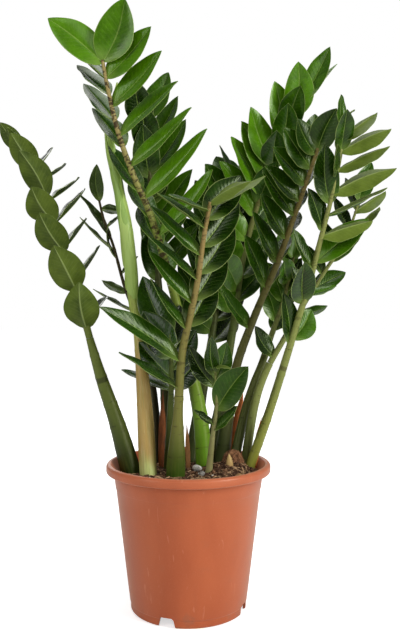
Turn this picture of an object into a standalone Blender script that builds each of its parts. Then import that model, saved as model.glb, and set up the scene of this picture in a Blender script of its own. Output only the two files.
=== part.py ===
"""A zz plant (Zamioculcas zamiifolia) in a plain moulded nursery pot, in metres with +Z up.

The origin is on the pot's axis in the plane of its foot; +X is the plant's right and -Y its front.
The sizes below are in millimetres and are turned into metres where meshes are made.
"""
import math
import random

import bmesh
import bpy
import numpy as np
from mathutils.bvhtree import BVHTree

MM = 0.001

# ---------------------------------------------------------------- pot (millimetres)
POT_HEIGHT = 149.0
RIM_RADIUS = 85.0
RIM_DEPTH = 9.0
FOOT_RADIUS = 59.5
BODY_TOP_RADIUS = 76.8      # outside of the wall just under the rim
WALL = 1.8
LEDGE_HEIGHT = 8.0          # small step round the foot
LEDGE_STEP = 0.8
STACK_HEIGHT = 124.0        # small step on which a nested pot stands
STACK_STEP = 0.5
CHANNEL_INNER = 36.0        # raised drainage channel under the floor
CHANNEL_HEIGHT = 10.5
FLOOR = 2.2
NOTCH_WIDTH = 18.0
NOTCH_HEIGHT = 11.0
NOTCH_TOP_WIDTH = 13.0
NOTCH_COUNT = 4
NOTCH_TURN = -20.0          # degrees from the front to the first notch
POT_SIDES = 44

# ---------------------------------------------------------------- potting mix
CLEARANCE = 0.4             # all round between neighbouring pieces
STEM_DEPTH = 12.0           # how far a stem stands in the mix
MIX_BUMPS = 1.3
STEM_SIDES = 10
RACHIS_SIDES = 5

# ---------------------------------------------------------------- leaflets
MID_THICKNESS = 1.5         # at the midrib
FOLD = 17.0                 # degrees each half of a blade rises from the midrib
STALK_WIDTH = 2.2
LEAF_CLEARANCE = 1.2        # added thickness when leaflets are turned clear of each other
TURNS = (0, 7, -7, 14, -14, 21, -21, 28, -28, 36, -36, 44, -44, 52, -52)
SHORTER = (1.0, 0.85, 0.7, 0.55)

# ---------------------------------------------------------------- driving dimensions (millimetres)
SOIL_TOP = 137.0        # height of the potting mix where the stems stand in it
RACHIS_GAP = 0.4        # clear gap between a stem and its leafy part

# Every frond is one entry. "path" is the centre line from the mix upwards (right, back, up).
# "girth" runs along the bare stem, "rachis" along the leafy part, both radii.
# "first" is the height where the leafy part starts. Each rank of leaflets gives the heights at
# which its leaflets leave the rachis and values that run along the rank from low to high:
# length, width, lean (degrees from upright, + to the right), forward (degrees to the front),
# roll (degrees that the upper face turns from facing the front) and bend (degrees that the
# midrib curves away from the upper face).
FRONDS = {
    "far_left": dict(
        path=[(-60, 4, 137), (-74, 0, 187), (-89, -6, 234), (-100, -12, 274),
              (-113, -18, 325), (-130, -24, 382), (-149, -26, 439), (-170, -22, 470)],
        girth=(10.4, 10.3, 9.0, 7.6, 6.6, 5.2, 3.9), first=278, rachis=(3.8, 1.4), tone=0.45, ranks=[
            dict(at=(288, 326, 365, 396, 420, 448), length=(53, 58, 53, 48, 55, 42),
                 width=(37, 36, 31, 31, 29, 26), lean=(-6, -20, -27, -28, -27, -33),
                 forward=(54, 46, 48, 58, 42, 30), roll=(180, 184, 180, 180, 176, 170),
                 bend=(62, 16, 12, 20, 12, 12)),
            dict(at=(297, 335, 369, 395, 417, 437, 449), length=(50, 64, 60, 66, 62, 54, 52),
                 width=(26, 28, 28, 28, 26, 24, 24), lean=(42, 31, 30, 34, 42, 40, 22),
                 forward=(-55, -45, -50, -45, -52, -58, -55), roll=(-66, -76, -72, -72, -70, -70, -50),
                 bend=(8,)),
            dict(at=(468, 469), length=(35, 28), width=(19, 12), lean=(-38, -30), forward=(6, 30),
                 roll=(170, 150), bend=(6,)),
        ]),
    "tall_left": dict(
        path=[(17, 26, 137), (12, 30, 193), (1, 32, 247), (-12, 32, 307), (-25, 28, 356),
              (-42, 22, 411), (-60, 14, 453), (-75, 4, 497), (-84, -6, 539), (-88, -12, 563)],
        girth=(9.2, 8.0, 5.6, 4.7), first=334, rachis=(4.6, 1.8), tone=0.6, ranks=[
            dict(at=(387, 427, 460, 490, 519, 546), length=(92, 99, 89, 83, 76, 69),
                 width=(31, 32, 31, 31, 32, 33),
                 lean=(46, 49, 54, 55, 50, 49), forward=(12,), roll=(-54, -42, -44, -44, -34, -24),
                 bend=(10,)),
            dict(at=(345, 377, 405, 433, 478, 505, 530, 546), length=(64, 64, 64, 66, 68, 66, 60, 54),
                 width=(32,),
                 lean=(-26, -28, -32, -38, -40, -42, -48, -46),
                 forward=(-36, -34, -32, -30, -28, -28, -28, -26),
                 roll=(40, 50, 46, 46, 40, 44, 52, 70), bend=(10,)),
            dict(at=(560, 561), length=(69, 65), width=(37, 43), lean=(-55, 23), forward=(4, 10),
                 roll=(16, -6), bend=(14, 8)),
        ]),
    "left_back": dict(
        path=[(-23, 45, 137), (-26, 62, 205), (-31, 72, 284), (-38, 74, 364), (-44, 68, 444),
              (-48, 58, 500), (-50, 50, 530)],
        girth=(8.0, 7.0, 5.4, 4.6), first=330, rachis=(4.2, 1.6), tone=0.2, ranks=[
            dict(at=(350, 378, 406, 434, 462, 490, 518), length=(74, 76, 78, 78, 76, 70, 62), width=(33,),
                 lean=(42, 40, 38, 38, 37, 34, 27), forward=(-10,),
                 roll=(-30, -40, -30, -50, -40, -46, -20), bend=(12,)),
            dict(at=(340, 369, 398, 427, 456, 485, 514), length=(62, 66, 68, 66, 62, 60, 50), width=(33,),
                 lean=(-16, -10, -8, -6, -8, -10, -14), forward=(14,), roll=(14,), bend=(12,)),
        ]),
    "centre_front": dict(
        path=[(-13, -14, 137), (-10, -22, 205), (-6, -30, 262), (2, -36, 299), (10, -42, 336),
              (16, -50, 379), (22, -58, 410)],
        girth=(9.0, 9.8, 8.6, 6.8, 5.0, 4.6), first=220, rachis=(4.5, 1.8), tone=0.55, ranks=[
            dict(at=(228, 256, 288, 313, 336, 360, 386, 402), length=(72, 100, 62, 68, 64, 70, 58, 44),
                 width=(26, 28, 26, 26, 26, 26, 25, 25),
                 lean=(-62, -59, -40, -44, -53, -50, -60, -76), forward=(14, 16, 10, 8, 10, 8, 16, 24),
                 roll=(74, 50, 66, 58, 70, 56, 66, 76), bend=(8,)),
            dict(at=(290, 316, 342, 368, 394), length=(64, 70, 74, 72, 64), width=(34,),
                 lean=(26, 28, 30, 33, 37), forward=(-30,), roll=(-6,), bend=(12,)),
            dict(at=(407, 408), length=(64, 46), width=(24, 20), lean=(57, 58), forward=(-10, 26),
                 roll=(112, 130), bend=(8, 14)),
        ]),
    "dark_right": dict(
        path=[(36, 46, 137), (45, 44, 208), (54, 38, 252), (73, 28, 305), (95, 18, 358),
              (112, 8, 407), (123, 2, 440), (134, -6, 474)],
        girth=(8.8, 7.4, 5.2, 4.5), first=280, rachis=(4.4, 1.8), tone=0.3, ranks=[
            dict(at=(288, 331, 358, 383, 407, 422, 438, 454, 468),
                 length=(58, 64, 62, 56, 60, 54, 54, 52, 42),
                 width=(28, 30, 31, 31, 32, 32, 32, 31, 29),
                 lean=(-42, -30, -34, -38, -44, -54, -50, -42, -36),
                 forward=(16,), roll=(50, 46, 44, 40, 38, 36, 30, 26, 26), bend=(12,)),
            dict(at=(330, 356, 382, 408, 434, 460), length=(56, 60, 60, 56, 52, 42), width=(28,),
                 lean=(36, 34, 32, 30, 28, 26), forward=(-52,), roll=(-60,), bend=(12,)),
            dict(at=(471, 472), length=(48, 44), width=(29, 24), lean=(24, 0), forward=(6, -26),
                 roll=(-10, 0), bend=(14,)),
        ]),
    "right": dict(
        path=[(64, 12, 137), (68, 12, 150), (82, 8, 191), (98, 0, 244), (112, -7, 293), (123, -15, 332),
              (133, -24, 375), (142, -31, 413), (148, -37, 444), (151, -40, 464), (152, -44, 490)],
        girth=(5.2, 4.9, 4.4, 3.9), first=266, rachis=(3.8, 1.5), tone=0.6, ranks=[
            dict(at=(276, 322, 355, 379, 400, 421, 443, 461, 474),
                 length=(40, 34, 72, 54, 65, 68, 57, 54, 43),
                 width=(28, 16, 32, 28, 26, 30, 27, 29, 28), lean=(35, 78, 54, 68, 60, 64, 60, 61, 49),
                 forward=(-20, -10, -10, 6, 8, 8, 6, 8, 6),
                 roll=(-10, -60, -30, 122, 84, 128, 120, 126, 122), bend=(10,)),
            dict(at=(271, 313, 349, 386, 412, 440, 462), length=(56, 56, 46, 46, 60, 44, 46),
                 width=(25, 29, 22, 24, 29, 22, 23), lean=(-13, -8, -34, -26, -9, -24, -4), forward=(10,),
                 roll=(30, 12, 46, 34, 14, 42, 26), bend=(12,)),
            dict(at=(486, 487), length=(31, 20), width=(14, 8), lean=(-14, 10), forward=(4, -10),
                 roll=(30, 60), bend=(30, 50)),
        ]),
    "right_back_inner": dict(
        path=[(48, 31, 137), (61, 46, 192), (71, 52, 222), (82, 57, 248), (93, 60, 280), (103, 59, 308),
              (111, 57, 338), (117, 55, 366)],
        girth=(5.8, 5.2, 4.4, 4.0), first=268, rachis=(3.4, 1.3), tone=0.5, ranks=[
            dict(at=(294, 316, 338, 356), length=(48, 50, 50, 46), width=(28,), lean=(-22, -24, -22, -16),
                 forward=(-10, -10, -6, 0), roll=(20,), bend=(14,)),
            dict(at=(284, 306, 328, 348), length=(32, 38, 42, 44), width=(24,), lean=(44, 36, 30, 24),
                 forward=(-30,),
                 roll=(-40,), bend=(14,)),
            dict(at=(364,), length=(44,), width=(26,), lean=(6,), forward=(0,), roll=(0,), bend=(12,)),
        ]),
    "right_back": dict(
        path=[(60, 27, 137), (71, 37, 200), (84, 42, 238), (103, 44, 272), (125, 42, 311), (149, 40, 349),
              (171, 38, 384), (186, 34, 427)],
        girth=(5.0, 4.8, 4.0), first=248, rachis=(3.4, 1.2), tone=0.5, ranks=[
            dict(at=(300, 330, 360, 390, 412), length=(38, 42, 52, 52, 48), width=(16, 24, 26, 26, 24),
                 lean=(76, 66, 48, 46, 50), forward=(-14,), roll=(-56, -34, -40, 110, 124), bend=(10,)),
            dict(at=(256, 322, 346, 370, 394, 416), length=(42, 38, 42, 44, 44, 40),
                 width=(24, 22, 22, 22, 22, 22),
                 lean=(-46, -34, -34, -30, -24, -18), forward=(0, -20, -20, -20, -20, -20), roll=(40,),
                 bend=(40, 10, 10, 10, 10, 10)),
            dict(at=(425,), length=(44,), width=(24,), lean=(16,), forward=(0,), roll=(10,), bend=(10,)),
        ]),
    "top_right": dict(
        path=[(22, 60, 137), (37, 76, 210), (51, 90, 290), (60, 96, 354), (71, 96, 401), (86, 92, 448),
              (106, 84, 493), (123, 74, 534), (131, 70, 549)],
        girth=(6.6, 6.2, 5.2, 4.6), first=296, rachis=(4.4, 1.4), tone=0.75, ranks=[
            dict(at=(306, 332, 358, 389, 418, 442, 459, 475, 501, 527),
                 length=(64, 70, 72, 74, 76, 76, 74, 72, 69, 62),
                 width=(36,), lean=(-40, -38, -36, -38, -38, -33, -29, -26, -13, 1), forward=(10,),
                 roll=(20, 24, 24, 28, 30, 30, 26, 20, 16, 6), bend=(12,)),
            dict(at=(318, 345, 372, 402, 430, 452, 472, 494, 514),
                 length=(60, 60, 60, 60, 58, 58, 56, 56, 54), width=(31,),
                 lean=(46, 44, 42, 38, 26, 6, 2, 6, 14), forward=(-30, -30, -30, -26, 10, 30, 34, 34, 32),
                 roll=(-30, -30, -30, -26, -10, -8, -8, -10, -14), bend=(12,)),
            dict(at=(546, 547), length=(68, 66), width=(14, 27), lean=(44, 28), forward=(-18, 2),
                 roll=(-60, -22), bend=(6,)),
        ]),
    "centre_back": dict(
        path=[(2, 58, 137), (13, 76, 203), (27, 90, 284), (37, 98, 360), (47, 98, 425), (54, 94, 458)],
        girth=(8.6, 7.6, 5.6, 4.6), first=258, rachis=(4.4, 1.5), tone=0.35, ranks=[
            dict(at=(282, 307, 332, 357, 382, 406, 430, 452), length=(64, 70, 74, 74, 70, 66, 58, 50),
                 width=(36,),
                 lean=(-44, -42, -40, -40, -38, -38, -36, -30), forward=(14,), roll=(24,), bend=(12,)),
            dict(at=(270, 295, 320, 345, 370, 394, 418, 442), length=(62, 68, 70, 70, 66, 62, 58, 52),
                 width=(32,),
                 lean=(44, 42, 40, 38, 36, 34, 32, 28), forward=(-20,), roll=(-20,), bend=(12,)),
            dict(at=(456,), length=(48,), width=(20,), lean=(-28,), forward=(0,), roll=(60,), bend=(12,)),
        ]),
    "thin_left": dict(
        path=[(-37, 56, 137), (-39, 68, 190), (-46, 78, 238), (-60, 90, 290), (-77, 92, 337),
        (-89, 88, 382), (-99, 82, 411),
              (-104, 76, 434)],
        girth=(5.4, 5.0, 4.4, 3.2, 2.4), first=296, rachis=(2.2, 1.3), tone=0.25, ranks=[
            dict(at=(306, 327, 368, 377, 388), length=(54, 34, 46, 56, 66), width=(12, 14, 8, 10, 15),
                 lean=(-66, -67, -44, -56, -37), forward=(0, -10, 6, 0, 10), roll=(70, 46, 70, 76, 52),
                 bend=(10, 10, 70, 20, 6)),
            dict(at=(350, 404, 424), length=(30, 24, 26), width=(10, 8, 14), lean=(46, 50, 100),
                 forward=(-20,),
                 roll=(-60, -60, -30), bend=(8,)),
            dict(at=(432,), length=(42,), width=(17,), lean=(-4,), forward=(10,), roll=(20,), bend=(8,)),
        ]),
    "short_front": dict(
        path=[(21, -6, 137), (25, -12, 178), (29, -18, 210), (27, -24, 250)],
        girth=(4.6, 3.6, 3.0, 2.6), first=178, rachis=(2.4, 1.2), tone=0.4, ranks=[
            dict(at=(184, 205, 236), length=(38, 60, 40), width=(16, 32, 22), lean=(56, 36, 16),
                 forward=(14, 16, -6),
                 roll=(-60, -16, 0), bend=(30, 14, 14)),
            dict(at=(190, 228, 240), length=(30, 50, 46), width=(14, 20, 20), lean=(-60, -36, -10),
                 forward=(20, -6, 6),
                 roll=(60, 20, 30), bend=(14,)),
            dict(at=(248,), length=(26,), width=(14,), lean=(58,), forward=(40,), roll=(60,), bend=(40,)),
        ]),
    "short_left": dict(
        path=[(-22, 18, 137), (-20, 14, 190), (-18, 8, 240), (-20, 2, 284)],
        girth=(5.0, 4.6, 3.8, 3.2), first=218, rachis=(3.0, 1.4), tone=0.5, ranks=[
            dict(at=(222, 236, 256, 278), length=(66, 52, 60, 72), width=(18, 34, 36, 37),
                 lean=(-76, -44, -32, -26),
                 forward=(-22, 10, 6, 0), roll=(60, 26, 26, 20), bend=(10,)),
            dict(at=(224, 244, 266), length=(42, 50, 52), width=(30,), lean=(46, 34, 14), forward=(-10,),
                 roll=(-20,), bend=(14,)),
        ]),
}
NEW_SHOOT = dict(path=[(-41.5, -6, 137), (-46.5, 4, 212), (-52, 10, 275), (-59, 14, 317), (-66, 22, 382),
(-77, 30, 442),
                       (-87, 38, 493), (-86, 46, 532), (-80, 50, 560)],
                 girth=(9.0, 8.8, 7.0, 5.3, 5.6, 4.6, 3.2, 2.4, 0.8))


def spline(points, samples=10):
    """A smooth curve through the points."""
    p = np.array(points, float)
    p = np.vstack([2 * p[0] - p[1], p, 2 * p[-1] - p[-2]])
    out = []
    for i in range(1, len(p) - 2):
        a, b, c, d = p[i - 1], p[i], p[i + 1], p[i + 2]
        for s in np.arange(samples) / samples:
            out.append(0.5 * (2 * b + (c - a) * s + (2 * a - 5 * b + 4 * c - d) * s * s
                              + (3 * b - a - 3 * c + d) * s ** 3))
    out.append(p[-2])
    return np.array(out)


def at_height(line, z):
    """The point of an upright curve at a height."""
    k = int(np.clip(np.searchsorted(line[:, 2], z), 1, len(line) - 1))
    a, b = line[k - 1], line[k]
    share = 0.0 if b[2] == a[2] else (z - a[2]) / (b[2] - a[2])
    return a + (b - a) * np.clip(share, 0, 1)


def along(values, share):
    """The value that a list spread evenly from 0 to 1 has at a share."""
    return float(np.interp(share * (len(values) - 1), range(len(values)), values))


def turned(v, axis, degrees):
    """A vector turned about an axis by the right-hand rule."""
    t = math.radians(degrees)
    axis = axis / np.linalg.norm(axis)
    return v * math.cos(t) + np.cross(axis, v) * math.sin(t) + axis * (axis @ v) * (1 - math.cos(t))


def leaflets(frond):
    """The leaflets of a frond, each a dict of its base point, size and angles."""
    line = spline(frond["path"])
    found = []
    for r, rank in enumerate(frond["ranks"]):
        count = len(rank["at"])
        for i, z in enumerate(rank["at"]):
            share = i / (count - 1) if count > 1 else 0.0
            leaf = {key: along(rank[key], share) for key in ("length", "width", "lean", "forward", "roll",
            "bend")}
            found.append(dict(leaf, base=at_height(line, min(z, line[-1][2] - 2.0)), rank=r, place=i))
    return found


def midrib(leaf, rows):
    """Points, directions and upper-face normals from the base to the tip of a leaflet."""
    a, f = math.radians(leaf["lean"]), math.radians(leaf["forward"])
    d = np.array([math.sin(a) * math.cos(f), -math.sin(f), math.cos(a) * math.cos(f)])
    n = np.array([0.0, -1.0, 0.0])
    n = n - (n @ d) * d
    n = turned(n / np.linalg.norm(n), d, leaf["roll"])
    across = np.cross(d, n)
    points, dirs, normals = [leaf["base"]], [d], [n]
    for _ in range(rows):
        d = turned(d, across, leaf["bend"] / rows)
        n = turned(n, across, leaf["bend"] / rows)
        points.append(points[-1] + d * leaf["length"] / rows)
        dirs.append(d)
        normals.append(n)
    return np.array(points), np.array(dirs), np.array(normals)


def half_width(u, low=0.62, high=0.7):
    """Half the width of a leaflet of width 1 at a share of its length."""
    peak = low / (low + high)
    return 0.5 * (u / peak) ** low * ((1 - u) / (1 - peak)) ** high


# ---------------------------------------------------------------- turning leaflets clear of each other
def tube_mesh(points, radii, sides, pointed=False):
    """Corners and faces of a closed tube with flat ends, or with a point at the far end."""
    points = np.array(points, float)
    tangents = np.gradient(points, axis=0)
    tangents /= np.linalg.norm(tangents, axis=1)[:, None]
    side = np.cross(tangents[0], (0.0, 1.0, 0.0))
    corners = []
    faces = []
    rings = len(points) - 1 if pointed else len(points)
    for i in range(rings):
        side = side - (side @ tangents[i]) * tangents[i]
        side /= np.linalg.norm(side)
        other = np.cross(tangents[i], side)
        for k in range(sides):
            t = 2 * math.pi * k / sides
            corners.append(points[i] + radii[i] * (math.cos(t) * side + math.sin(t) * other))
    for i in range(rings - 1):
        for k in range(sides):
            a = i * sides + k
            b = i * sides + (k + 1) % sides
            faces.append((a, b, b + sides, a + sides))
    faces.append(tuple(reversed(range(sides))))
    last = (rings - 1) * sides
    if pointed:
        corners.append(points[-1])
        faces += [(last + k, last + (k + 1) % sides, len(corners) - 1) for k in range(sides)]
    else:
        faces.append(tuple(range(last, last + sides)))
    return corners, faces


def blade_mesh(leaf, extra=0.0, start=0.0):
    """Corners and faces of a leaflet as a closed, folded blade with thin edges and a pointed tip."""
    shares = [s for s in (0.0, 0.18, 0.5, 0.82, 1.0) if s >= start]
    steps = 50
    points, dirs, normals = midrib(leaf, steps)
    rise = math.radians(FOLD)
    corners = []
    for share in shares[:-1]:
        k = round(share * steps)
        across = np.cross(dirs[k], normals[k])
        half = max(leaf["width"] * half_width(share), STALK_WIDTH / 2) + extra
        deep = (MID_THICKNESS if share > 0 else STALK_WIDTH) * (1 - 0.5 * share) / 2 + extra
        out = across * half * math.cos(rise)
        up = normals[k] * half * math.sin(rise)
        corners += [points[k] - out + up, points[k] - normals[k] * deep,
                    points[k] + out + up, points[k] + normals[k] * deep]
    corners.append(points[-1])
    rings = len(shares) - 1
    faces = [(3, 2, 1, 0)]
    for i in range(rings - 1):
        for k in range(4):
            a = 4 * i + k
            b = 4 * i + (k + 1) % 4
            faces.append((a, b, b + 4, a + 4))
    last = 4 * (rings - 1)
    faces += [(last + k, last + (k + 1) % 4, len(corners) - 1) for k in range(4)]
    return corners, faces


def tree_of(corners, faces):
    return BVHTree.FromPolygons([tuple(c) for c in corners], faces)


def split(frond):
    """The centre lines of a frond's bare stem and of its rachis, with the small gap between them."""
    line = spline(frond["path"])
    foot = line[0] - (0.0, 0.0, STEM_DEPTH)
    cut = frond["first"]
    low = [foot] + [p for p in line if p[2] < cut - 2.0] + [at_height(line, cut)]
    high = [at_height(line, cut + RACHIS_GAP)] + [p for p in line if p[2] > cut + 3.0]
    return np.array(low), np.array(high)


def thinned(line, every):
    """Every so many points of a line, with both ends kept."""
    keep = list(range(0, len(line) - 1, every)) + [len(line) - 1]
    if len(keep) > 2 and keep[-1] - keep[-2] < every / 2:
        del keep[-2]
    return line[keep]


def radii_along(line, values):
    lengths = np.concatenate([[0.0], np.cumsum(np.linalg.norm(np.diff(line, axis=0), axis=1))])
    return [along(values, s / lengths[-1]) for s in lengths]


def settled_leaflets():
    """All leaflets of all fronds, turned forward or back just enough to stand clear of each other."""
    stalks = {}
    for name, frond in FRONDS.items():
        low, high = split(frond)
        for part, line, values in (("stem", low, frond["girth"]), ("rachis", high, frond["rachis"])):
            radii = [r + LEAF_CLEARANCE for r in radii_along(line, values)]
            stalks[name, part] = tree_of(*tube_mesh(line, radii, 8))
    shoot = spline(NEW_SHOOT["path"])
    stalks["new_shoot", "stem"] = tree_of(*tube_mesh(
        shoot, [r + LEAF_CLEARANCE for r in radii_along(shoot, NEW_SHOOT["girth"])], 8))
    placed = []
    settled = {}
    for name, frond in FRONDS.items():
        settled[name] = []
        for leaf in leaflets(frond):
            for shorter in SHORTER:
                done = False
                for turn in TURNS:
                    tried = dict(leaf, forward=leaf["forward"] + turn, length=leaf["length"] * shorter,
                                 width=leaf["width"] * (0.5 + 0.5 * shorter))
                    corners, faces = blade_mesh(tried, LEAF_CLEARANCE / 2, 0.1)
                    inner = [c for c in corners if c[2] < SOIL_TOP + 12 or math.hypot(c[0], c[1]) > 245]
                    tree = tree_of(corners, faces)
                    if inner or any(tree.overlap(t) for key, t in stalks.items() if key != (name, "rachis")):
                        continue
                    if any(tree.overlap(t) for t in placed):
                        continue
                    placed.append(tree)
                    settled[name].append(tried)
                    done = True
                    break
                if done:
                    break
    return settled


# ---------------------------------------------------------------- making objects
def material(name, colour, roughness, metallic=0.0):
    made = bpy.data.materials.new(name)
    made.use_nodes = True
    shader = made.node_tree.nodes["Principled BSDF"]
    shader.inputs["Base Color"].default_value = (*colour, 1.0)
    shader.inputs["Roughness"].default_value = roughness
    shader.inputs["Metallic"].default_value = metallic
    return made


def solid(name, corners, faces, look, smooth=True):
    """A mesh object in metres from corners in millimetres, with its normals turned outward."""
    mesh = bpy.data.meshes.new(name)
    mesh.from_pydata([tuple(np.array(c) * MM) for c in corners], [], faces)
    work = bmesh.new()
    work.from_mesh(mesh)
    bmesh.ops.recalc_face_normals(work, faces=work.faces)
    bmesh.ops.triangulate(work, faces=work.faces)
    for face in work.faces:
        face.smooth = smooth
    work.to_mesh(mesh)
    work.free()
    made = bpy.data.objects.new(name, mesh)
    bpy.context.scene.collection.objects.link(made)
    if look:
        mesh.materials.append(look)
    return made


def combine(target, others, operation):
    """Join other closed meshes to a target, or cut them from it, and remove them."""
    for other in others:
        step = target.modifiers.new(other.name, "BOOLEAN")
        step.operation = operation
        step.solver = "EXACT"
        step.object = other
    graph = bpy.context.evaluated_depsgraph_get()
    graph.update()
    result = bpy.data.meshes.new_from_object(target.evaluated_get(graph))
    target.modifiers.clear()
    target.data = result
    for other in others:
        bpy.data.objects.remove(other)


def revolved(profile, sides):
    """Corners and faces of a closed profile of (radius, height) turned about the upright axis."""
    corners = []
    index = []
    for radius, height in profile:
        if radius == 0.0:
            index.append([len(corners)] * sides)
            corners.append((0.0, 0.0, height))
            continue
        ring = []
        for k in range(sides):
            t = 2 * math.pi * k / sides
            ring.append(len(corners))
            corners.append((radius * math.cos(t), radius * math.sin(t), height))
        index.append(ring)
    faces = []
    pairs = list(zip(index, index[1:]))
    if profile[0][0] != 0.0:
        pairs.append((index[-1], index[0]))
    for low, high in pairs:
        for k in range(sides):
            after = (k + 1) % sides
            face = [low[k], low[after], high[after], high[k]]
            face = list(dict.fromkeys(face))
            if len(face) > 2:
                faces.append(tuple(face))
    return corners, faces


# ---------------------------------------------------------------- pieces
def wall_radius(height):
    """Outside radius of the pot wall at a height, from the foot to the rim, without its small steps."""
    return FOOT_RADIUS + (BODY_TOP_RADIUS - FOOT_RADIUS) * height / (POT_HEIGHT - RIM_DEPTH)


def build_pot():
    under_rim = POT_HEIGHT - RIM_DEPTH
    ceiling = CHANNEL_HEIGHT
    profile = [(0.0, 0.0), (CHANNEL_INNER - 2, 0.0), (CHANNEL_INNER, ceiling),
               (FOOT_RADIUS - 2.4, ceiling), (FOOT_RADIUS - 2.6, 0.0), (FOOT_RADIUS - 1.2, 0.0)]
    for k in range(1, 4):
        t = math.pi / 2 * k / 3
        profile.append((FOOT_RADIUS - 1.2 + 1.2 * math.sin(t), 1.2 - 1.2 * math.cos(t)))
    profile += [(wall_radius(LEDGE_HEIGHT) - LEDGE_STEP, LEDGE_HEIGHT - 0.4),
                (wall_radius(LEDGE_HEIGHT), LEDGE_HEIGHT + 0.4)]
    profile += [(wall_radius(STACK_HEIGHT), STACK_HEIGHT - 0.3),
                (wall_radius(STACK_HEIGHT) + STACK_STEP, STACK_HEIGHT + 0.3),
                (wall_radius(under_rim) + STACK_STEP, under_rim),
                (RIM_RADIUS - 3.0, under_rim - 0.6), (RIM_RADIUS - 1.0, under_rim + 0.6),
                (RIM_RADIUS, under_rim + 3.4), (RIM_RADIUS - 0.4, POT_HEIGHT - 2.6),
                (RIM_RADIUS - 1.6, POT_HEIGHT - 0.7), (RIM_RADIUS - 3.2, POT_HEIGHT),
                (RIM_RADIUS - 4.8, POT_HEIGHT - 0.5), (RIM_RADIUS - 6.0, POT_HEIGHT - 2.4)]
    for height in (under_rim, 30.0):
        profile.append((wall_radius(height) - WALL, height))
    profile += [(wall_radius(ceiling) - WALL - 0.6, ceiling + FLOOR + 0.8),
                (wall_radius(ceiling) - WALL - 1.6, ceiling + FLOOR),
                (CHANNEL_INNER - 1.2, ceiling + FLOOR), (CHANNEL_INNER - 3.2, FLOOR), (0.0, FLOOR)]
    corners, faces = revolved(profile, POT_SIDES)
    pot = solid("pot", corners, faces, material("terracotta_plastic", (0.52, 0.15, 0.065), 0.38))
    cutters = []
    for k in range(NOTCH_COUNT):
        t = math.radians(NOTCH_TURN - 90 + 360 * k / NOTCH_COUNT)
        out = np.array([math.cos(t), math.sin(t), 0.0])
        side = np.array([-math.sin(t), math.cos(t), 0.0])
        corners = []
        for reach in (FOOT_RADIUS - 12, FOOT_RADIUS + 8):
            for half, height in ((NOTCH_WIDTH / 2 + 1, -3), (NOTCH_WIDTH / 2, 0.5),
                                 (NOTCH_TOP_WIDTH / 2, NOTCH_HEIGHT - 1.2)):
                corners.append(out * reach - side * half + (0, 0, height))
                corners.append(out * reach + side * half + (0, 0, height))
        faces = [(0, 2, 4, 5, 3, 1), (6, 8, 10, 11, 9, 7), (0, 2, 8, 6), (2, 4, 10, 8), (4, 5, 11, 10),
                 (5, 3, 9, 11), (3, 1, 7, 9), (1, 0, 6, 7)]
        cutters.append(solid(f"notch_{k}", corners, faces, None))
    combine(pot, cutters, "DIFFERENCE")
    return pot


def mix_height(x, y):
    """Height of the bumpy top of the mix."""
    waves = (math.sin(x * 0.21 + 1.3) * math.cos(y * 0.17) + 0.6 * math.sin(x * 0.43 + y * 0.37)
             + 0.4 * math.cos(y * 0.53 - x * 0.29 + 2.0))
    return SOIL_TOP + MIX_BUMPS * waves * 0.6


def socket(line, radii, sides):
    """A cutter that follows the foot of a piece with a clear gap all round."""
    line = np.array(line[:3])
    corners, faces = tube_mesh(line, [r + CLEARANCE for r in radii[:3]], sides)
    for k in range(sides):
        corners[k] = corners[k] - (0.0, 0.0, 0.6)
    return corners, faces


def build_mix(footprints, sockets):
    """The mix with a clear socket for everything that stands or lies in it."""
    ceiling = CHANNEL_HEIGHT + FLOOR
    sides = 24
    edge = wall_radius(SOIL_TOP) - WALL - CLEARANCE
    top = (0.0, 14.0, 30.0, 46.0, 61.0, edge)
    wall = [(wall_radius(30.0) - WALL - CLEARANCE, 30.0), (wall_radius(ceiling) - WALL - 1.6, ceiling + 2.0)]
    below = [(wall_radius(ceiling) - WALL - 3.2, ceiling + CLEARANCE),
             (CHANNEL_INNER - 1.6, ceiling + CLEARANCE),
             (CHANNEL_INNER - 3.8, FLOOR + CLEARANCE), (0.0, FLOOR + CLEARANCE)]
    profile = [(r, SOIL_TOP) for r in top] + wall + below
    corners, faces = revolved(profile, sides)
    lifted = []
    for k, corner in enumerate(corners):
        if k < 1 + (len(top) - 1) * sides:
            corner = (corner[0], corner[1], mix_height(corner[0], corner[1]))
        lifted.append(corner)
    mix = solid("potting_mix", lifted, faces, material("peat_mix", (0.035, 0.022, 0.014), 0.95))
    cutters = []
    for k, (x, y, radius, depth) in enumerate(footprints):
        bore = [(x, y, SOIL_TOP - depth - CLEARANCE), (x, y, SOIL_TOP + 12)]
        corners, faces = tube_mesh(bore, (radius, radius), 12)
        cutters.append(solid(f"socket_{k}", corners, faces, None))
    cutters += [solid(f"foot_{k}", *made, None) for k, made in enumerate(sockets)]
    combine(mix, cutters, "DIFFERENCE")
    return mix


def stem_look(name, tone):
    return material(name, (0.10 + 0.05 * tone, 0.15 + 0.06 * tone, 0.045), 0.5)


def build_frond(name, frond, leaves):
    low, high = split(frond)
    line = np.vstack([low[:2], thinned(low[1:], 6)[1:]])
    radii = radii_along(line, frond["girth"])
    corners, faces = tube_mesh(line, radii, STEM_SIDES)
    solid(f"stem_{name}", corners, faces, stem_look(f"stem_{name}", frond["tone"]))
    foot = socket(line, radii, STEM_SIDES)
    line = thinned(high, 10)
    corners, faces = tube_mesh(line, radii_along(line, frond["rachis"]), RACHIS_SIDES)
    tone = frond["tone"]
    look = material(f"leaf_{name}", (0.02 + 0.05 * tone, 0.08 + 0.12 * tone, 0.012 + 0.01 * tone), 0.3)
    made = solid(f"leaves_{name}", corners, faces, look)
    blades = []
    for k, leaf in enumerate(leaves):
        corners, faces = blade_mesh(leaf)
        blades.append(solid(f"blade_{k}", corners, faces, None))
    combine(made, blades, "UNION")
    return foot


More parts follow.
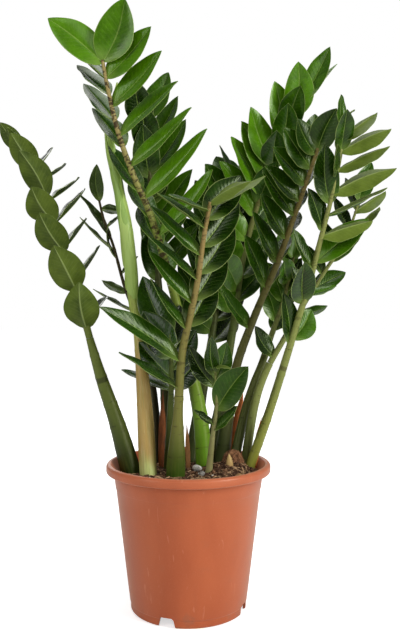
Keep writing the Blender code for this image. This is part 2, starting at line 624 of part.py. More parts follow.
def build_shoot():
    line = spline(NEW_SHOOT["path"], 2)
    line = np.vstack([line[0] - (0.0, 0.0, STEM_DEPTH), line])
    radii = radii_along(line, NEW_SHOOT["girth"])
    corners, faces = tube_mesh(line, radii, STEM_SIDES, pointed=True)
    solid("new_shoot", corners, faces, material("young_shoot", (0.32, 0.42, 0.12), 0.45))
    return socket(line, radii, STEM_SIDES)


def build_lump(name, centre, size, look, seed, rough=0.16, segments=(8, 5)):
    """A closed, uneven lump; size is the half extent along each axis."""
    noise = random.Random(seed)
    around, up = segments
    corners = [(centre[0], centre[1], centre[2] - size[2])]
    for i in range(1, up):
        tilt = math.pi * i / up
        for k in range(around):
            t = 2 * math.pi * (k + 0.5 * (i % 2)) / around
            swell = 1 + noise.uniform(-rough, rough)
            corners.append((centre[0] + size[0] * math.sin(tilt) * math.cos(t) * swell,
                            centre[1] + size[1] * math.sin(tilt) * math.sin(t) * swell,
                            centre[2] - size[2] * math.cos(tilt) * swell))
    corners.append((centre[0], centre[1], centre[2] + size[2]))
    last = len(corners) - 1
    faces = [(0, 1 + k, 1 + (k + 1) % around) for k in range(around)]
    for i in range(up - 2):
        for k in range(around):
            a = 1 + i * around + k
            b = 1 + i * around + (k + 1) % around
            faces.append((a, b, b + around, a + around))
    faces += [(last - around + k, last - around + (k + 1) % around, last) for k in range(around)]
    return solid(name, corners, faces, look)


def build_scale(name, foot, top, width, look, curl=0.5):
    """A dry, papery bud scale: a pointed strip, cupped across."""
    foot, top = np.array(foot, float), np.array(top, float)
    rows, thick = 6, 1.0
    corners = []
    along_it = (top - foot) / np.linalg.norm(top - foot)
    side = np.cross(along_it, (0.0, 1.0, 0.0))
    side /= np.linalg.norm(side)
    face_out = np.cross(side, along_it)
    for i in range(rows):
        share = i / rows
        half = width * (0.55 + 0.45 * math.sin(math.pi * min(share * 1.2, 1.0))) / 2
        centre = foot + (top - foot) * share
        corners += [centre - side * half, centre - face_out * (curl * half + thick),
                    centre + side * half, centre - face_out * curl * half]
    corners.append(top)
    faces = [(3, 2, 1, 0)]
    for i in range(rows - 1):
        for k in range(4):
            a = 4 * i + k
            b = 4 * i + (k + 1) % 4
            faces.append((a, b, b + 4, a + 4))
    last = 4 * (rows - 1)
    faces += [(last + k, last + (k + 1) % 4, len(corners) - 1) for k in range(4)]
    return solid(name, corners, faces, look)


def main():
    for old in list(bpy.data.objects):
        bpy.data.objects.remove(old)
    build_pot()
    settled = settled_leaflets()
    footprints = []
    sockets = [build_frond(name, frond, settled[name]) for name, frond in FRONDS.items()]
    sockets.append(build_shoot())
    brown = material("dry_brown", (0.16, 0.075, 0.035), 0.85)
    tan = material("dry_tan", (0.36, 0.22, 0.11), 0.8)
    bark = material("rhizome_skin", (0.17, 0.08, 0.04), 0.9)
    white = material("perlite", (0.8, 0.78, 0.72), 0.9)
    grey = material("pebble", (0.3, 0.29, 0.27), 0.7)
    for name, centre, size, look, seed, hole in (
            ("rhizome_crown", (47, 10, 143), (11.0, 9.0, 14), bark, 3, 13.0),
            ("perlite_lump", (9, 5, 140.5), (5.0, 3.4, 3.4), white, 4, 6.0),
            ("grey_pebble", (14, -17, 140), (3.4, 3.0, 2.6), grey, 5, 4.2),
            ("bark_chip_left", (-18, -52, 139.5), (7.0, 3.6, 2.2), brown, 6, 8.2),
            ("bark_chip_front", (26, -50, 139.5), (6.4, 4.0, 2.4), brown, 7, 7.6),
            ("bark_chip_right", (52, -26, 139.5), (6.2, 4.2, 2.6), tan, 8, 7.4)):
        build_lump(name, centre, size, look, seed)
        footprints.append((centre[0], centre[1], hole, SOIL_TOP - (centre[2] - size[2] * 1.17)))
    line = np.array([(43, -5, 128), (43, -5, 138), (42.8, -5, 146), (42.5, -5, 152), (42, -5, 158)], float)
    corners, faces = tube_mesh(line, (3.4, 3.4, 3.5, 2.6, 0.0), 9, pointed=True)
    solid("pale_bud", corners, faces, material("bud_scale", (0.62, 0.52, 0.34), 0.6))
    footprints.append((43, -5, 3.4 + CLEARANCE, 9.0))
    for name, foot, top, width, look in (
            ("papery_scale_tall", (47, 50, 130), (61, 66, 220), 12.0, brown),
            ("papery_scale_left", (-30, 28, 130), (-28, 31, 221), 7.0, brown),
            ("papery_scale_right", (68, 19, 130), (78, 23, 192), 6.0, brown),
            ("papery_scale_small", (0, 9, 130), (-2, 8, 191), 5.0, tan)):
        build_scale(name, foot, top, width, look)
        rise = np.subtract(top, foot) / math.dist(top, foot)
        middle = np.array(foot, float) - (0.0, 0.8, 0.0)
        reach = [middle - rise * 1.2, middle + rise * 16.0]
        sockets.append(tube_mesh(reach, [width * 0.3 + 1.1] * 2, 8))
    build_mix(footprints, sockets)


main()
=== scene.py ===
import itertools
import math
import random

import bmesh
import bpy
import numpy as np
from mathutils.bvhtree import BVHTree
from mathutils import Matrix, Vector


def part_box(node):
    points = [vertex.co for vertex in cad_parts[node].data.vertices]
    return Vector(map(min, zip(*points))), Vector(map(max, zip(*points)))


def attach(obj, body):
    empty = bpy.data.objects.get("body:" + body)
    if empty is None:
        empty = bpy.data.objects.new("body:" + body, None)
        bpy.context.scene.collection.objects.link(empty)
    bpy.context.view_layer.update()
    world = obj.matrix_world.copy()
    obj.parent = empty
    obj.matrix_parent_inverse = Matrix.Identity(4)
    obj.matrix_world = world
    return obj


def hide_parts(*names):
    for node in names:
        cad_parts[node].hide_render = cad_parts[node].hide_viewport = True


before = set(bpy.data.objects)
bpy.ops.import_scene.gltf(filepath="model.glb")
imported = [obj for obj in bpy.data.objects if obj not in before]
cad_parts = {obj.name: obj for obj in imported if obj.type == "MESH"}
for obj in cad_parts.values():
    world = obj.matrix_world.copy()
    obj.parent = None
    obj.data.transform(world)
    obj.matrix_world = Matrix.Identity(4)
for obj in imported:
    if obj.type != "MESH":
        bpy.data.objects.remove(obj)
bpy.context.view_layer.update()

MM = 0.001
POT_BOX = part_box("pot")
POT_HEIGHT = round(POT_BOX[1][2] / MM, 1)
RIM_RADIUS = round(POT_BOX[1][0] / MM, 1)

# ---------------------------------------------------------------- pot (millimetres)
RIM_DEPTH = 9.0
FOOT_RADIUS = 59.5
BODY_TOP_RADIUS = 76.8
WALL = 1.8
LEDGE_HEIGHT = 8.0
LEDGE_STEP = 0.8
STACK_HEIGHT = 124.0
STACK_STEP = 0.5
CHANNEL_INNER = 36.0
CHANNEL_HEIGHT = 10.5
FLOOR = 2.2
NOTCH_WIDTH = 18.0
NOTCH_HEIGHT = 11.0
NOTCH_TOP_WIDTH = 13.0
NOTCH_COUNT = 4
NOTCH_TURN = -20.0
POT_SIDES = 144

# ---------------------------------------------------------------- potting mix and stems
CLEARANCE = 0.4
STEM_DEPTH = 12.0
MIX_BUMPS = 1.3
STEM_SIDES = 20
RACHIS_SIDES = 12

# ---------------------------------------------------------------- leaflets
MID_THICKNESS = 1.5
FOLD = 17.0
STALK_WIDTH = 2.2
LEAF_CLEARANCE = 1.2
TURNS = (0, 7, -7, 14, -14, 21, -21, 28, -28, 36, -36, 44, -44, 52, -52)
SHORTER = (1.0, 0.85, 0.7, 0.55)
LEAF_ABOVE_MIX = 12.0     # lowest that a leaflet may hang over the mix
LEAF_REACH = 245.0        # furthest that a leaflet may reach from the pot's axis
LEAF_SAMPLES = 60         # steps along the midrib of a leaflet
LEAF_ROWS = 20
LEAF_ACROSS = (-1.0, -0.95, -0.74, -0.45, -0.18, -0.06, 0.0, 0.06, 0.18, 0.45, 0.74, 0.95, 1.0)

# ---------------------------------------------------------------- the plant (millimetres)
SOIL_TOP = 137.0        # height of the potting mix where the stems stand in it
RACHIS_GAP = 0.4        # clear gap between a stem and its leafy part

# Every frond is one entry. "path" is the centre line from the mix upwards (right, back, up).
# "girth" runs along the bare stem, "rachis" along the leafy part, both radii.
# "first" is the height where the leafy part starts. Each rank of leaflets gives the heights at
# which its leaflets leave the rachis and values that run along the rank from low to high:
# length, width, lean (degrees from upright, + to the right), forward (degrees to the front),
# roll (degrees that the upper face turns from facing the front) and bend (degrees that the
# midrib curves away from the upper face).
FRONDS = {
    "far_left": dict(
        path=[(-60, 4, 137), (-74, 0, 187), (-89, -6, 234), (-100, -12, 274), (-113, -18, 325),
              (-130, -24, 382), (-149, -26, 439), (-170, -22, 470)],
        girth=(10.4, 10.3, 9.0, 7.6, 6.6, 5.2, 3.9), first=278, rachis=(3.8, 1.4), ranks=[
            dict(at=(288, 326, 365, 396, 420, 448), length=(53, 58, 53, 48, 55, 42),
                 width=(37, 36, 31, 31, 29, 26), lean=(-6, -20, -27, -28, -27, -33),
                 forward=(54, 46, 48, 58, 42, 30), roll=(180, 184, 180, 180, 176, 170),
                 bend=(62, 16, 12, 20, 12, 12)),
            dict(at=(297, 335, 369, 395, 417, 437, 449), length=(50, 64, 60, 66, 62, 54, 52),
                 width=(26, 28, 28, 28, 26, 24, 24), lean=(42, 31, 30, 34, 42, 40, 22),
                 forward=(-55, -45, -50, -45, -52, -58, -55), roll=(-66, -76, -72, -72, -70, -70, -50),
                 bend=(8,)),
            dict(at=(468, 469), length=(35, 28), width=(19, 12), lean=(-38, -30), forward=(6, 30),
                 roll=(170, 150), bend=(6,)),
        ]),
    "tall_left": dict(
        path=[(17, 26, 137), (12, 30, 193), (1, 32, 247), (-12, 32, 307), (-25, 28, 356), (-42, 22, 411),
              (-60, 14, 453), (-75, 4, 497), (-84, -6, 539), (-88, -12, 563)],
        girth=(9.2, 8.0, 5.6, 4.7), first=334, rachis=(4.6, 1.8), ranks=[
            dict(at=(387, 427, 460, 490, 519, 546), length=(92, 99, 89, 83, 76, 69),
                 width=(31, 32, 31, 31, 32, 33), lean=(46, 49, 54, 55, 50, 49), forward=(12,),
                 roll=(-54, -42, -44, -44, -34, -24), bend=(10,)),
            dict(at=(345, 377, 405, 433, 478, 505, 530, 546), length=(64, 64, 64, 66, 68, 66, 60, 54),
                 width=(32,), lean=(-26, -28, -32, -38, -40, -42, -48, -46),
                 forward=(-36, -34, -32, -30, -28, -28, -28, -26), roll=(40, 50, 46, 46, 40, 44, 52, 70),
                 bend=(10,)),
            dict(at=(560, 561), length=(69, 65), width=(37, 43), lean=(-55, 23), forward=(4, 10),
                 roll=(16, -6), bend=(14, 8)),
        ]),
    "left_back": dict(
        path=[(-23, 45, 137), (-26, 62, 205), (-31, 72, 284), (-38, 74, 364), (-44, 68, 444),
              (-48, 58, 500), (-50, 50, 530)],
        girth=(8.0, 7.0, 5.4, 4.6), first=330, rachis=(4.2, 1.6), ranks=[
            dict(at=(350, 378, 406, 434, 462, 490, 518), length=(74, 76, 78, 78, 76, 70, 62), width=(33,),
                 lean=(42, 40, 38, 38, 37, 34, 27), forward=(-10,),
                 roll=(-30, -40, -30, -50, -40, -46, -20), bend=(12,)),
            dict(at=(340, 369, 398, 427, 456, 485, 514), length=(62, 66, 68, 66, 62, 60, 50), width=(33,),
                 lean=(-16, -10, -8, -6, -8, -10, -14), forward=(14,), roll=(14,), bend=(12,)),
        ]),
    "centre_front": dict(
        path=[(-13, -14, 137), (-10, -22, 205), (-6, -30, 262), (2, -36, 299), (10, -42, 336),
              (16, -50, 379), (22, -58, 410)],
        girth=(9.0, 9.8, 8.6, 6.8, 5.0, 4.6), first=220, rachis=(4.5, 1.8), ranks=[
            dict(at=(228, 256, 288, 313, 336, 360, 386, 402), length=(72, 100, 62, 68, 64, 70, 58, 44),
                 width=(26, 28, 26, 26, 26, 26, 25, 25), lean=(-62, -59, -40, -44, -53, -50, -60, -76),
                 forward=(14, 16, 10, 8, 10, 8, 16, 24), roll=(74, 50, 66, 58, 70, 56, 66, 76), bend=(8,)),
            dict(at=(290, 316, 342, 368, 394), length=(64, 70, 74, 72, 64), width=(34,),
                 lean=(26, 28, 30, 33, 37), forward=(-30,), roll=(-6,), bend=(12,)),
            dict(at=(407, 408), length=(64, 46), width=(24, 20), lean=(57, 58), forward=(-10, 26),
                 roll=(112, 130), bend=(8, 14)),
        ]),
    "dark_right": dict(
        path=[(36, 46, 137), (45, 44, 208), (54, 38, 252), (73, 28, 305), (95, 18, 358), (112, 8, 407),
              (123, 2, 440), (134, -6, 474)],
        girth=(8.8, 7.4, 5.2, 4.5), first=280, rachis=(4.4, 1.8), ranks=[
            dict(at=(288, 331, 358, 383, 407, 422, 438, 454, 468),
                 length=(58, 64, 62, 56, 60, 54, 54, 52, 42), width=(28, 30, 31, 31, 32, 32, 32, 31, 29),
                 lean=(-42, -30, -34, -38, -44, -54, -50, -42, -36), forward=(16,),
                 roll=(50, 46, 44, 40, 38, 36, 30, 26, 26), bend=(12,)),
            dict(at=(330, 356, 382, 408, 434, 460), length=(56, 60, 60, 56, 52, 42), width=(28,),
                 lean=(36, 34, 32, 30, 28, 26), forward=(-52,), roll=(-60,), bend=(12,)),
            dict(at=(471, 472), length=(48, 44), width=(29, 24), lean=(24, 0), forward=(6, -26),
                 roll=(-10, 0), bend=(14,)),
        ]),
    "right": dict(
        path=[(64, 12, 137), (68, 12, 150), (82, 8, 191), (98, 0, 244), (112, -7, 293), (123, -15, 332),
              (133, -24, 375), (142, -31, 413), (148, -37, 444), (151, -40, 464), (152, -44, 490)],
        girth=(5.2, 4.9, 4.4, 3.9), first=266, rachis=(3.8, 1.5), ranks=[
            dict(at=(276, 322, 355, 379, 400, 421, 443, 461, 474),
                 length=(40, 34, 72, 54, 65, 68, 57, 54, 43), width=(28, 16, 32, 28, 26, 30, 27, 29, 28),
                 lean=(35, 78, 54, 68, 60, 64, 60, 61, 49), forward=(-20, -10, -10, 6, 8, 8, 6, 8, 6),
                 roll=(-10, -60, -30, 122, 84, 128, 120, 126, 122), bend=(10,)),
            dict(at=(271, 313, 349, 386, 412, 440, 462), length=(56, 56, 46, 46, 60, 44, 46),
                 width=(25, 29, 22, 24, 29, 22, 23), lean=(-13, -8, -34, -26, -9, -24, -4), forward=(10,),
                 roll=(30, 12, 46, 34, 14, 42, 26), bend=(12,)),
            dict(at=(486, 487), length=(31, 20), width=(14, 8), lean=(-14, 10), forward=(4, -10),
                 roll=(30, 60), bend=(30, 50)),
        ]),
    "right_back_inner": dict(
        path=[(48, 31, 137), (61, 46, 192), (71, 52, 222), (82, 57, 248), (93, 60, 280), (103, 59, 308),
              (111, 57, 338), (117, 55, 366)],
        girth=(5.8, 5.2, 4.4, 4.0), first=268, rachis=(3.4, 1.3), ranks=[
            dict(at=(294, 316, 338, 356), length=(48, 50, 50, 46), width=(28,), lean=(-22, -24, -22, -16),
                 forward=(-10, -10, -6, 0), roll=(20,), bend=(14,)),
            dict(at=(284, 306, 328, 348), length=(32, 38, 42, 44), width=(24,), lean=(44, 36, 30, 24),
                 forward=(-30,), roll=(-40,), bend=(14,)),
            dict(at=(364,), length=(44,), width=(26,), lean=(6,), forward=(0,), roll=(0,), bend=(12,)),
        ]),
    "right_back": dict(
        path=[(60, 27, 137), (71, 37, 200), (84, 42, 238), (103, 44, 272), (125, 42, 311), (149, 40, 349),
              (171, 38, 384), (186, 34, 427)],
        girth=(5.0, 4.8, 4.0), first=248, rachis=(3.4, 1.2), ranks=[
            dict(at=(300, 330, 360, 390, 412), length=(38, 42, 52, 52, 48), width=(16, 24, 26, 26, 24),
                 lean=(76, 66, 48, 46, 50), forward=(-14,), roll=(-56, -34, -40, 110, 124), bend=(10,)),
            dict(at=(256, 322, 346, 370, 394, 416), length=(42, 38, 42, 44, 44, 40),
                 width=(24, 22, 22, 22, 22, 22), lean=(-46, -34, -34, -30, -24, -18),
                 forward=(0, -20, -20, -20, -20, -20), roll=(40,), bend=(40, 10, 10, 10, 10, 10)),
            dict(at=(425,), length=(44,), width=(24,), lean=(16,), forward=(0,), roll=(10,), bend=(10,)),
        ]),
    "top_right": dict(
        path=[(22, 60, 137), (37, 76, 210), (51, 90, 290), (60, 96, 354), (71, 96, 401), (86, 92, 448),
              (106, 84, 493), (123, 74, 534), (131, 70, 549)],
        girth=(6.6, 6.2, 5.2, 4.6), first=296, rachis=(4.4, 1.4), ranks=[
            dict(at=(306, 332, 358, 389, 418, 442, 459, 475, 501, 527),
                 length=(64, 70, 72, 74, 76, 76, 74, 72, 69, 62), width=(36,),
                 lean=(-40, -38, -36, -38, -38, -33, -29, -26, -13, 1), forward=(10,),
                 roll=(20, 24, 24, 28, 30, 30, 26, 20, 16, 6), bend=(12,)),
            dict(at=(318, 345, 372, 402, 430, 452, 472, 494, 514),
                 length=(60, 60, 60, 60, 58, 58, 56, 56, 54), width=(31,),
                 lean=(46, 44, 42, 38, 26, 6, 2, 6, 14), forward=(-30, -30, -30, -26, 10, 30, 34, 34, 32),
                 roll=(-30, -30, -30, -26, -10, -8, -8, -10, -14), bend=(12,)),
            dict(at=(546, 547), length=(68, 66), width=(14, 27), lean=(44, 28), forward=(-18, 2),
                 roll=(-60, -22), bend=(6,)),
        ]),
    "centre_back": dict(
        path=[(2, 58, 137), (13, 76, 203), (27, 90, 284), (37, 98, 360), (47, 98, 425), (54, 94, 458)],
        girth=(8.6, 7.6, 5.6, 4.6), first=258, rachis=(4.4, 1.5), ranks=[
            dict(at=(282, 307, 332, 357, 382, 406, 430, 452), length=(64, 70, 74, 74, 70, 66, 58, 50),
                 width=(36,), lean=(-44, -42, -40, -40, -38, -38, -36, -30), forward=(14,), roll=(24,),
                 bend=(12,)),
            dict(at=(270, 295, 320, 345, 370, 394, 418, 442), length=(62, 68, 70, 70, 66, 62, 58, 52),
                 width=(32,), lean=(44, 42, 40, 38, 36, 34, 32, 28), forward=(-20,), roll=(-20,),
                 bend=(12,)),
            dict(at=(456,), length=(48,), width=(20,), lean=(-28,), forward=(0,), roll=(60,), bend=(12,)),
        ]),
    "thin_left": dict(
        path=[(-37, 56, 137), (-39, 68, 190), (-46, 78, 238), (-60, 90, 290), (-77, 92, 337),
              (-89, 88, 382), (-99, 82, 411), (-104, 76, 434)],
        girth=(5.4, 5.0, 4.4, 3.2, 2.4), first=296, rachis=(2.2, 1.3), ranks=[
            dict(at=(306, 327, 368, 377, 388), length=(54, 34, 46, 56, 66), width=(12, 14, 8, 10, 15),
                 lean=(-66, -67, -44, -56, -37), forward=(0, -10, 6, 0, 10), roll=(70, 46, 70, 76, 52),
                 bend=(10, 10, 70, 20, 6)),
            dict(at=(350, 404, 424), length=(30, 24, 26), width=(10, 8, 14), lean=(46, 50, 100),
                 forward=(-20,), roll=(-60, -60, -30), bend=(8,)),
            dict(at=(432,), length=(42,), width=(17,), lean=(-4,), forward=(10,), roll=(20,), bend=(8,)),
        ]),
    "short_front": dict(
        path=[(21, -6, 137), (25, -12, 178), (29, -18, 210), (27, -24, 250)],
        girth=(4.6, 3.6, 3.0, 2.6), first=178, rachis=(2.4, 1.2), ranks=[
            dict(at=(184, 205, 236), length=(38, 60, 40), width=(16, 32, 22), lean=(56, 36, 16),
                 forward=(14, 16, -6), roll=(-60, -16, 0), bend=(30, 14, 14)),
            dict(at=(190, 228, 240), length=(30, 50, 46), width=(14, 20, 20), lean=(-60, -36, -10),
                 forward=(20, -6, 6), roll=(60, 20, 30), bend=(14,)),
            dict(at=(248,), length=(26,), width=(14,), lean=(58,), forward=(40,), roll=(60,), bend=(40,)),
        ]),
    "short_left": dict(
        path=[(-22, 18, 137), (-20, 14, 190), (-18, 8, 240), (-20, 2, 284)],
        girth=(5.0, 4.6, 3.8, 3.2), first=218, rachis=(3.0, 1.4), ranks=[
            dict(at=(222, 236, 256, 278), length=(66, 52, 60, 72), width=(18, 34, 36, 37),
                 lean=(-76, -44, -32, -26), forward=(-22, 10, 6, 0), roll=(60, 26, 26, 20), bend=(10,)),
            dict(at=(224, 244, 266), length=(42, 50, 52), width=(30,), lean=(46, 34, 14), forward=(-10,),
                 roll=(-20,), bend=(14,)),
        ]),
}
NEW_SHOOT = dict(
    path=[(-41.5, -6, 137), (-46.5, 4, 212), (-52, 10, 275), (-59, 14, 317), (-66, 22, 382), (-77, 30, 442),
          (-87, 38, 493), (-86, 46, 532), (-80, 50, 560)],
    girth=(9.0, 8.8, 7.0, 5.3, 5.6, 4.6, 3.2, 2.4, 0.8))


def spline(points, samples=10):
    """A smooth curve through the points."""
    p = np.array(points, float)
    p = np.vstack([2 * p[0] - p[1], p, 2 * p[-1] - p[-2]])
    out = []
    for i in range(1, len(p) - 2):
        a, b, c, d = p[i - 1], p[i], p[i + 1], p[i + 2]
        for s in np.arange(samples) / samples:
            out.append(0.5 * (2 * b + (c - a) * s + (2 * a - 5 * b + 4 * c - d) * s * s
                              + (3 * b - a - 3 * c + d) * s ** 3))
    out.append(p[-2])
    return np.array(out)


def at_height(line, z):
    """The point of an upright curve at a height."""
    k = int(np.clip(np.searchsorted(line[:, 2], z), 1, len(line) - 1))
    a, b = line[k - 1], line[k]
    share = 0.0 if b[2] == a[2] else (z - a[2]) / (b[2] - a[2])
    return a + (b - a) * np.clip(share, 0, 1)


def along(values, share):
    """The value that a list spread evenly from 0 to 1 has at a share."""
    return float(np.interp(share * (len(values) - 1), range(len(values)), values))


def turned(v, axis, degrees):
    """A vector turned about an axis by the right-hand rule."""
    t = math.radians(degrees)
    axis = axis / np.linalg.norm(axis)
    return v * math.cos(t) + np.cross(axis, v) * math.sin(t) + axis * (axis @ v) * (1 - math.cos(t))


def leaflets(frond):
    """The leaflets of a frond, each a dict of its base point, size and angles."""
    line = spline(frond["path"])
    found = []
    for r, rank in enumerate(frond["ranks"]):
        count = len(rank["at"])
        for i, z in enumerate(rank["at"]):
            share = i / (count - 1) if count > 1 else 0.0
            leaf = {key: along(values, share) for key, values in rank.items() if key != "at"}
            found.append(dict(leaf, base=at_height(line, min(z, line[-1][2] - 2.0)), rank=r, place=i))
    return found


def midrib(leaf, rows):
    """Points, directions and upper-face normals from the base to the tip of a leaflet."""
    a, f = math.radians(leaf["lean"]), math.radians(leaf["forward"])
    d = np.array([math.sin(a) * math.cos(f), -math.sin(f), math.cos(a) * math.cos(f)])
    n = np.array([0.0, -1.0, 0.0])
    n = n - (n @ d) * d
    n = turned(n / np.linalg.norm(n), d, leaf["roll"])
    across = np.cross(d, n)
    points, dirs, normals = [leaf["base"]], [d], [n]
    for _ in range(rows):
        d = turned(d, across, leaf["bend"] / rows)
        n = turned(n, across, leaf["bend"] / rows)
        points.append(points[-1] + d * leaf["length"] / rows)
        dirs.append(d)
        normals.append(n)
    return np.array(points), np.array(dirs), np.array(normals)


def half_width(u, low=0.62, high=0.7):
    """Half the width of a leaflet of width 1 at a share of its length."""
    peak = low / (low + high)
    return 0.5 * (u / peak) ** low * ((1 - u) / (1 - peak)) ** high


# ---------------------------------------------------------------- turning leaflets clear of each other
def ring_faces(rings, sides, first=0):
    """Quads between rings of corners that follow each other, counted from a first corner."""
    faces = []
    for i in range(rings - 1):
        for k in range(sides):
            a = first + i * sides + k
            b = first + i * sides + (k + 1) % sides
            faces.append((a, b, b + sides, a + sides))
    return faces


def fan_faces(first, sides, hub):
    """Triangles from a ring of corners to one corner."""
    return [(first + k, first + (k + 1) % sides, hub) for k in range(sides)]


def lengths_along(line):
    """How far each point of a line lies from its start."""
    return np.concatenate([[0.0], np.cumsum(np.linalg.norm(np.diff(line, axis=0), axis=1))])


def tube_mesh(points, radii, sides):
    """Corners and faces of a closed tube. Each ring has one radius, or one for each side."""
    points = np.array(points, float)
    tangents = np.gradient(points, axis=0)
    tangents /= np.linalg.norm(tangents, axis=1)[:, None]
    side = np.cross(tangents[0], (0.0, 1.0, 0.0))
    corners = []
    for i, point in enumerate(points):
        side = side - (side @ tangents[i]) * tangents[i]
        side /= np.linalg.norm(side)
        other = np.cross(tangents[i], side)
        for k, radius in enumerate(np.broadcast_to(radii[i], sides)):
            t = 2 * math.pi * k / sides
            corners.append(point + radius * (math.cos(t) * side + math.sin(t) * other))
    faces = ring_faces(len(points), sides)
    faces.append(tuple(reversed(range(sides))))
    faces.append(tuple(range(len(corners) - sides, len(corners))))
    return corners, faces


def blade_mesh(leaf, extra=0.0, start=0.0):
    """Corners and faces of a leaflet as a closed, folded blade with thin edges and a pointed tip."""
    shares = [s for s in (0.0, 0.18, 0.5, 0.82, 1.0) if s >= start]
    steps = 50
    points, dirs, normals = midrib(leaf, steps)
    rise = math.radians(FOLD)
    corners = []
    for share in shares[:-1]:
        k = round(share * steps)
        across = np.cross(dirs[k], normals[k])
        half = max(leaf["width"] * half_width(share), STALK_WIDTH / 2) + extra
        deep = (MID_THICKNESS if share > 0 else STALK_WIDTH) * (1 - 0.5 * share) / 2 + extra
        out = across * half * math.cos(rise)
        up = normals[k] * half * math.sin(rise)
        corners += [points[k] - out + up, points[k] - normals[k] * deep,
                    points[k] + out + up, points[k] + normals[k] * deep]
    corners.append(points[-1])
    rings = len(shares) - 1
    faces = [(3, 2, 1, 0)] + ring_faces(rings, 4)
    return corners, faces + fan_faces(4 * (rings - 1), 4, len(corners) - 1)


def tree_of(corners, faces):
    """A search tree of a mesh."""
    return BVHTree.FromPolygons([tuple(c) for c in corners], faces)


def split(frond):
    """The centre lines of a frond's bare stem and of its rachis, with the small gap between them."""
    line = spline(frond["path"])
    foot = line[0] - (0.0, 0.0, STEM_DEPTH)
    cut = frond["first"]
    low = [foot] + [p for p in line if p[2] < cut - 2.0] + [at_height(line, cut)]
    high = [at_height(line, cut + RACHIS_GAP)] + [p for p in line if p[2] > cut + 3.0]
    return np.array(low), np.array(high)


def radii_along(line, values):
    """A radius for each point of a line, from values spread evenly along it."""
    lengths = lengths_along(line)
    return [along(values, s / lengths[-1]) for s in lengths]


def stalk_tree(line, values):
    """A stalk with room round it, for testing what meets it."""
    return tree_of(*tube_mesh(line, [r + LEAF_CLEARANCE for r in radii_along(line, values)], 8))


def clear_place(leaf, obstacles):
    """The first turn, or shorter form, in which a leaflet meets nothing, with its tree."""
    for shorter, turn in itertools.product(SHORTER, TURNS):
        tried = dict(leaf, forward=leaf["forward"] + turn, length=leaf["length"] * shorter,
                     width=leaf["width"] * (0.5 + 0.5 * shorter))
        corners, faces = blade_mesh(tried, LEAF_CLEARANCE / 2, 0.1)
        if any(c[2] < SOIL_TOP + LEAF_ABOVE_MIX or math.hypot(c[0], c[1]) > LEAF_REACH for c in corners):
            continue
        tree = tree_of(corners, faces)
        if not any(tree.overlap(other) for other in obstacles):
            return [(tree, tried)]
    return []


def settled_leaflets():
    """All leaflets of all fronds, turned forward or back just enough to stand clear of each other."""
    stalks = {("new_shoot", "stem"): stalk_tree(spline(NEW_SHOOT["path"]), NEW_SHOOT["girth"])}
    for name, frond in FRONDS.items():
        low, high = split(frond)
        stalks[name, "stem"] = stalk_tree(low, frond["girth"])
        stalks[name, "rachis"] = stalk_tree(high, frond["rachis"])
    placed = []
    settled = {}
    for name, frond in FRONDS.items():
        others = [tree for key, tree in stalks.items() if key != (name, "rachis")]
        settled[name] = []
        for leaf in leaflets(frond):
            for tree, found in clear_place(leaf, others + placed):
                placed.append(tree)
                settled[name].append(found)
    return settled


# ---------------------------------------------------------------- mesh building
class Shape:
    """Collects closed skins in millimetres, with a surface coordinate and a tone for each corner."""

    def __init__(self):
        self.corners = []
        self.faces = []
        self.coords = []
        self.slots = []
        self.tones = []
        self.size = 0

    def add(self, corners, faces, slots, tones, coords=None):
        self.corners.append(np.asarray(corners, float))
        self.faces += [tuple(k + self.size for k in face) for face in faces]
        self.coords += coords or [((0.0, 0.0),) * len(face) for face in faces]
        self.slots += list(slots) if isinstance(slots, (list, tuple)) else [slots] * len(faces)
        self.tones.append(np.broadcast_to(np.asarray(tones, float), (len(corners),)))
        self.size += len(corners)

    def build(self, name, looks, stands_for=(), slot=None, sharp=50):
        mesh = bpy.data.meshes.new(name)
        mesh.from_pydata((np.vstack(self.corners) * MM).tolist(), [], self.faces)
        for look in looks:
            mesh.materials.append(look)
        mesh.polygons.foreach_set("material_index", self.slots)
        layer = mesh.uv_layers.new(name="surface")
        flat = np.array([c for face in self.coords for c in face], float).ravel()
        layer.data.foreach_set("uv", flat)
        tone = mesh.attributes.new("tone", "FLOAT", "POINT")
        tone.data.foreach_set("value", np.concatenate(self.tones))
        mesh.shade_smooth()
        mesh.set_sharp_from_angle(angle=math.radians(sharp))
        mesh.validate()
        made = bpy.data.objects.new(name, mesh)
        bpy.context.scene.collection.objects.link(made)
        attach(made, "root")
        if stands_for:
            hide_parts(*stands_for)
        return made


def add_tube(shape, line, radii, sides, slot=0, tones=None, ridges=None):
    """A round stalk along a line. ridges(distance along, turn) gives an added radius."""
    lengths = lengths_along(np.array(line, float))
    if ridges:
        turns = np.arange(sides) / sides
        radii = [r + np.array([ridges(s, t) for t in turns]) for r, s in zip(radii, lengths)]
    corners, faces = tube_mesh(line, radii, sides)
    coords = []
    for low, high in zip(lengths[:-1] * 0.01, lengths[1:] * 0.01):
        for k in range(sides):
            left, right = k / sides, (k + 1) / sides
            coords.append(((left, low), (right, low), (right, high), (left, high)))
    coords += [((0.5, 0.0),) * sides, ((0.5, lengths[-1] * 0.01),) * sides]
    if tones is None:
        tones = lengths / lengths[-1]
    shape.add(corners, faces, slot, np.repeat(np.broadcast_to(tones, len(line)), sides), coords)


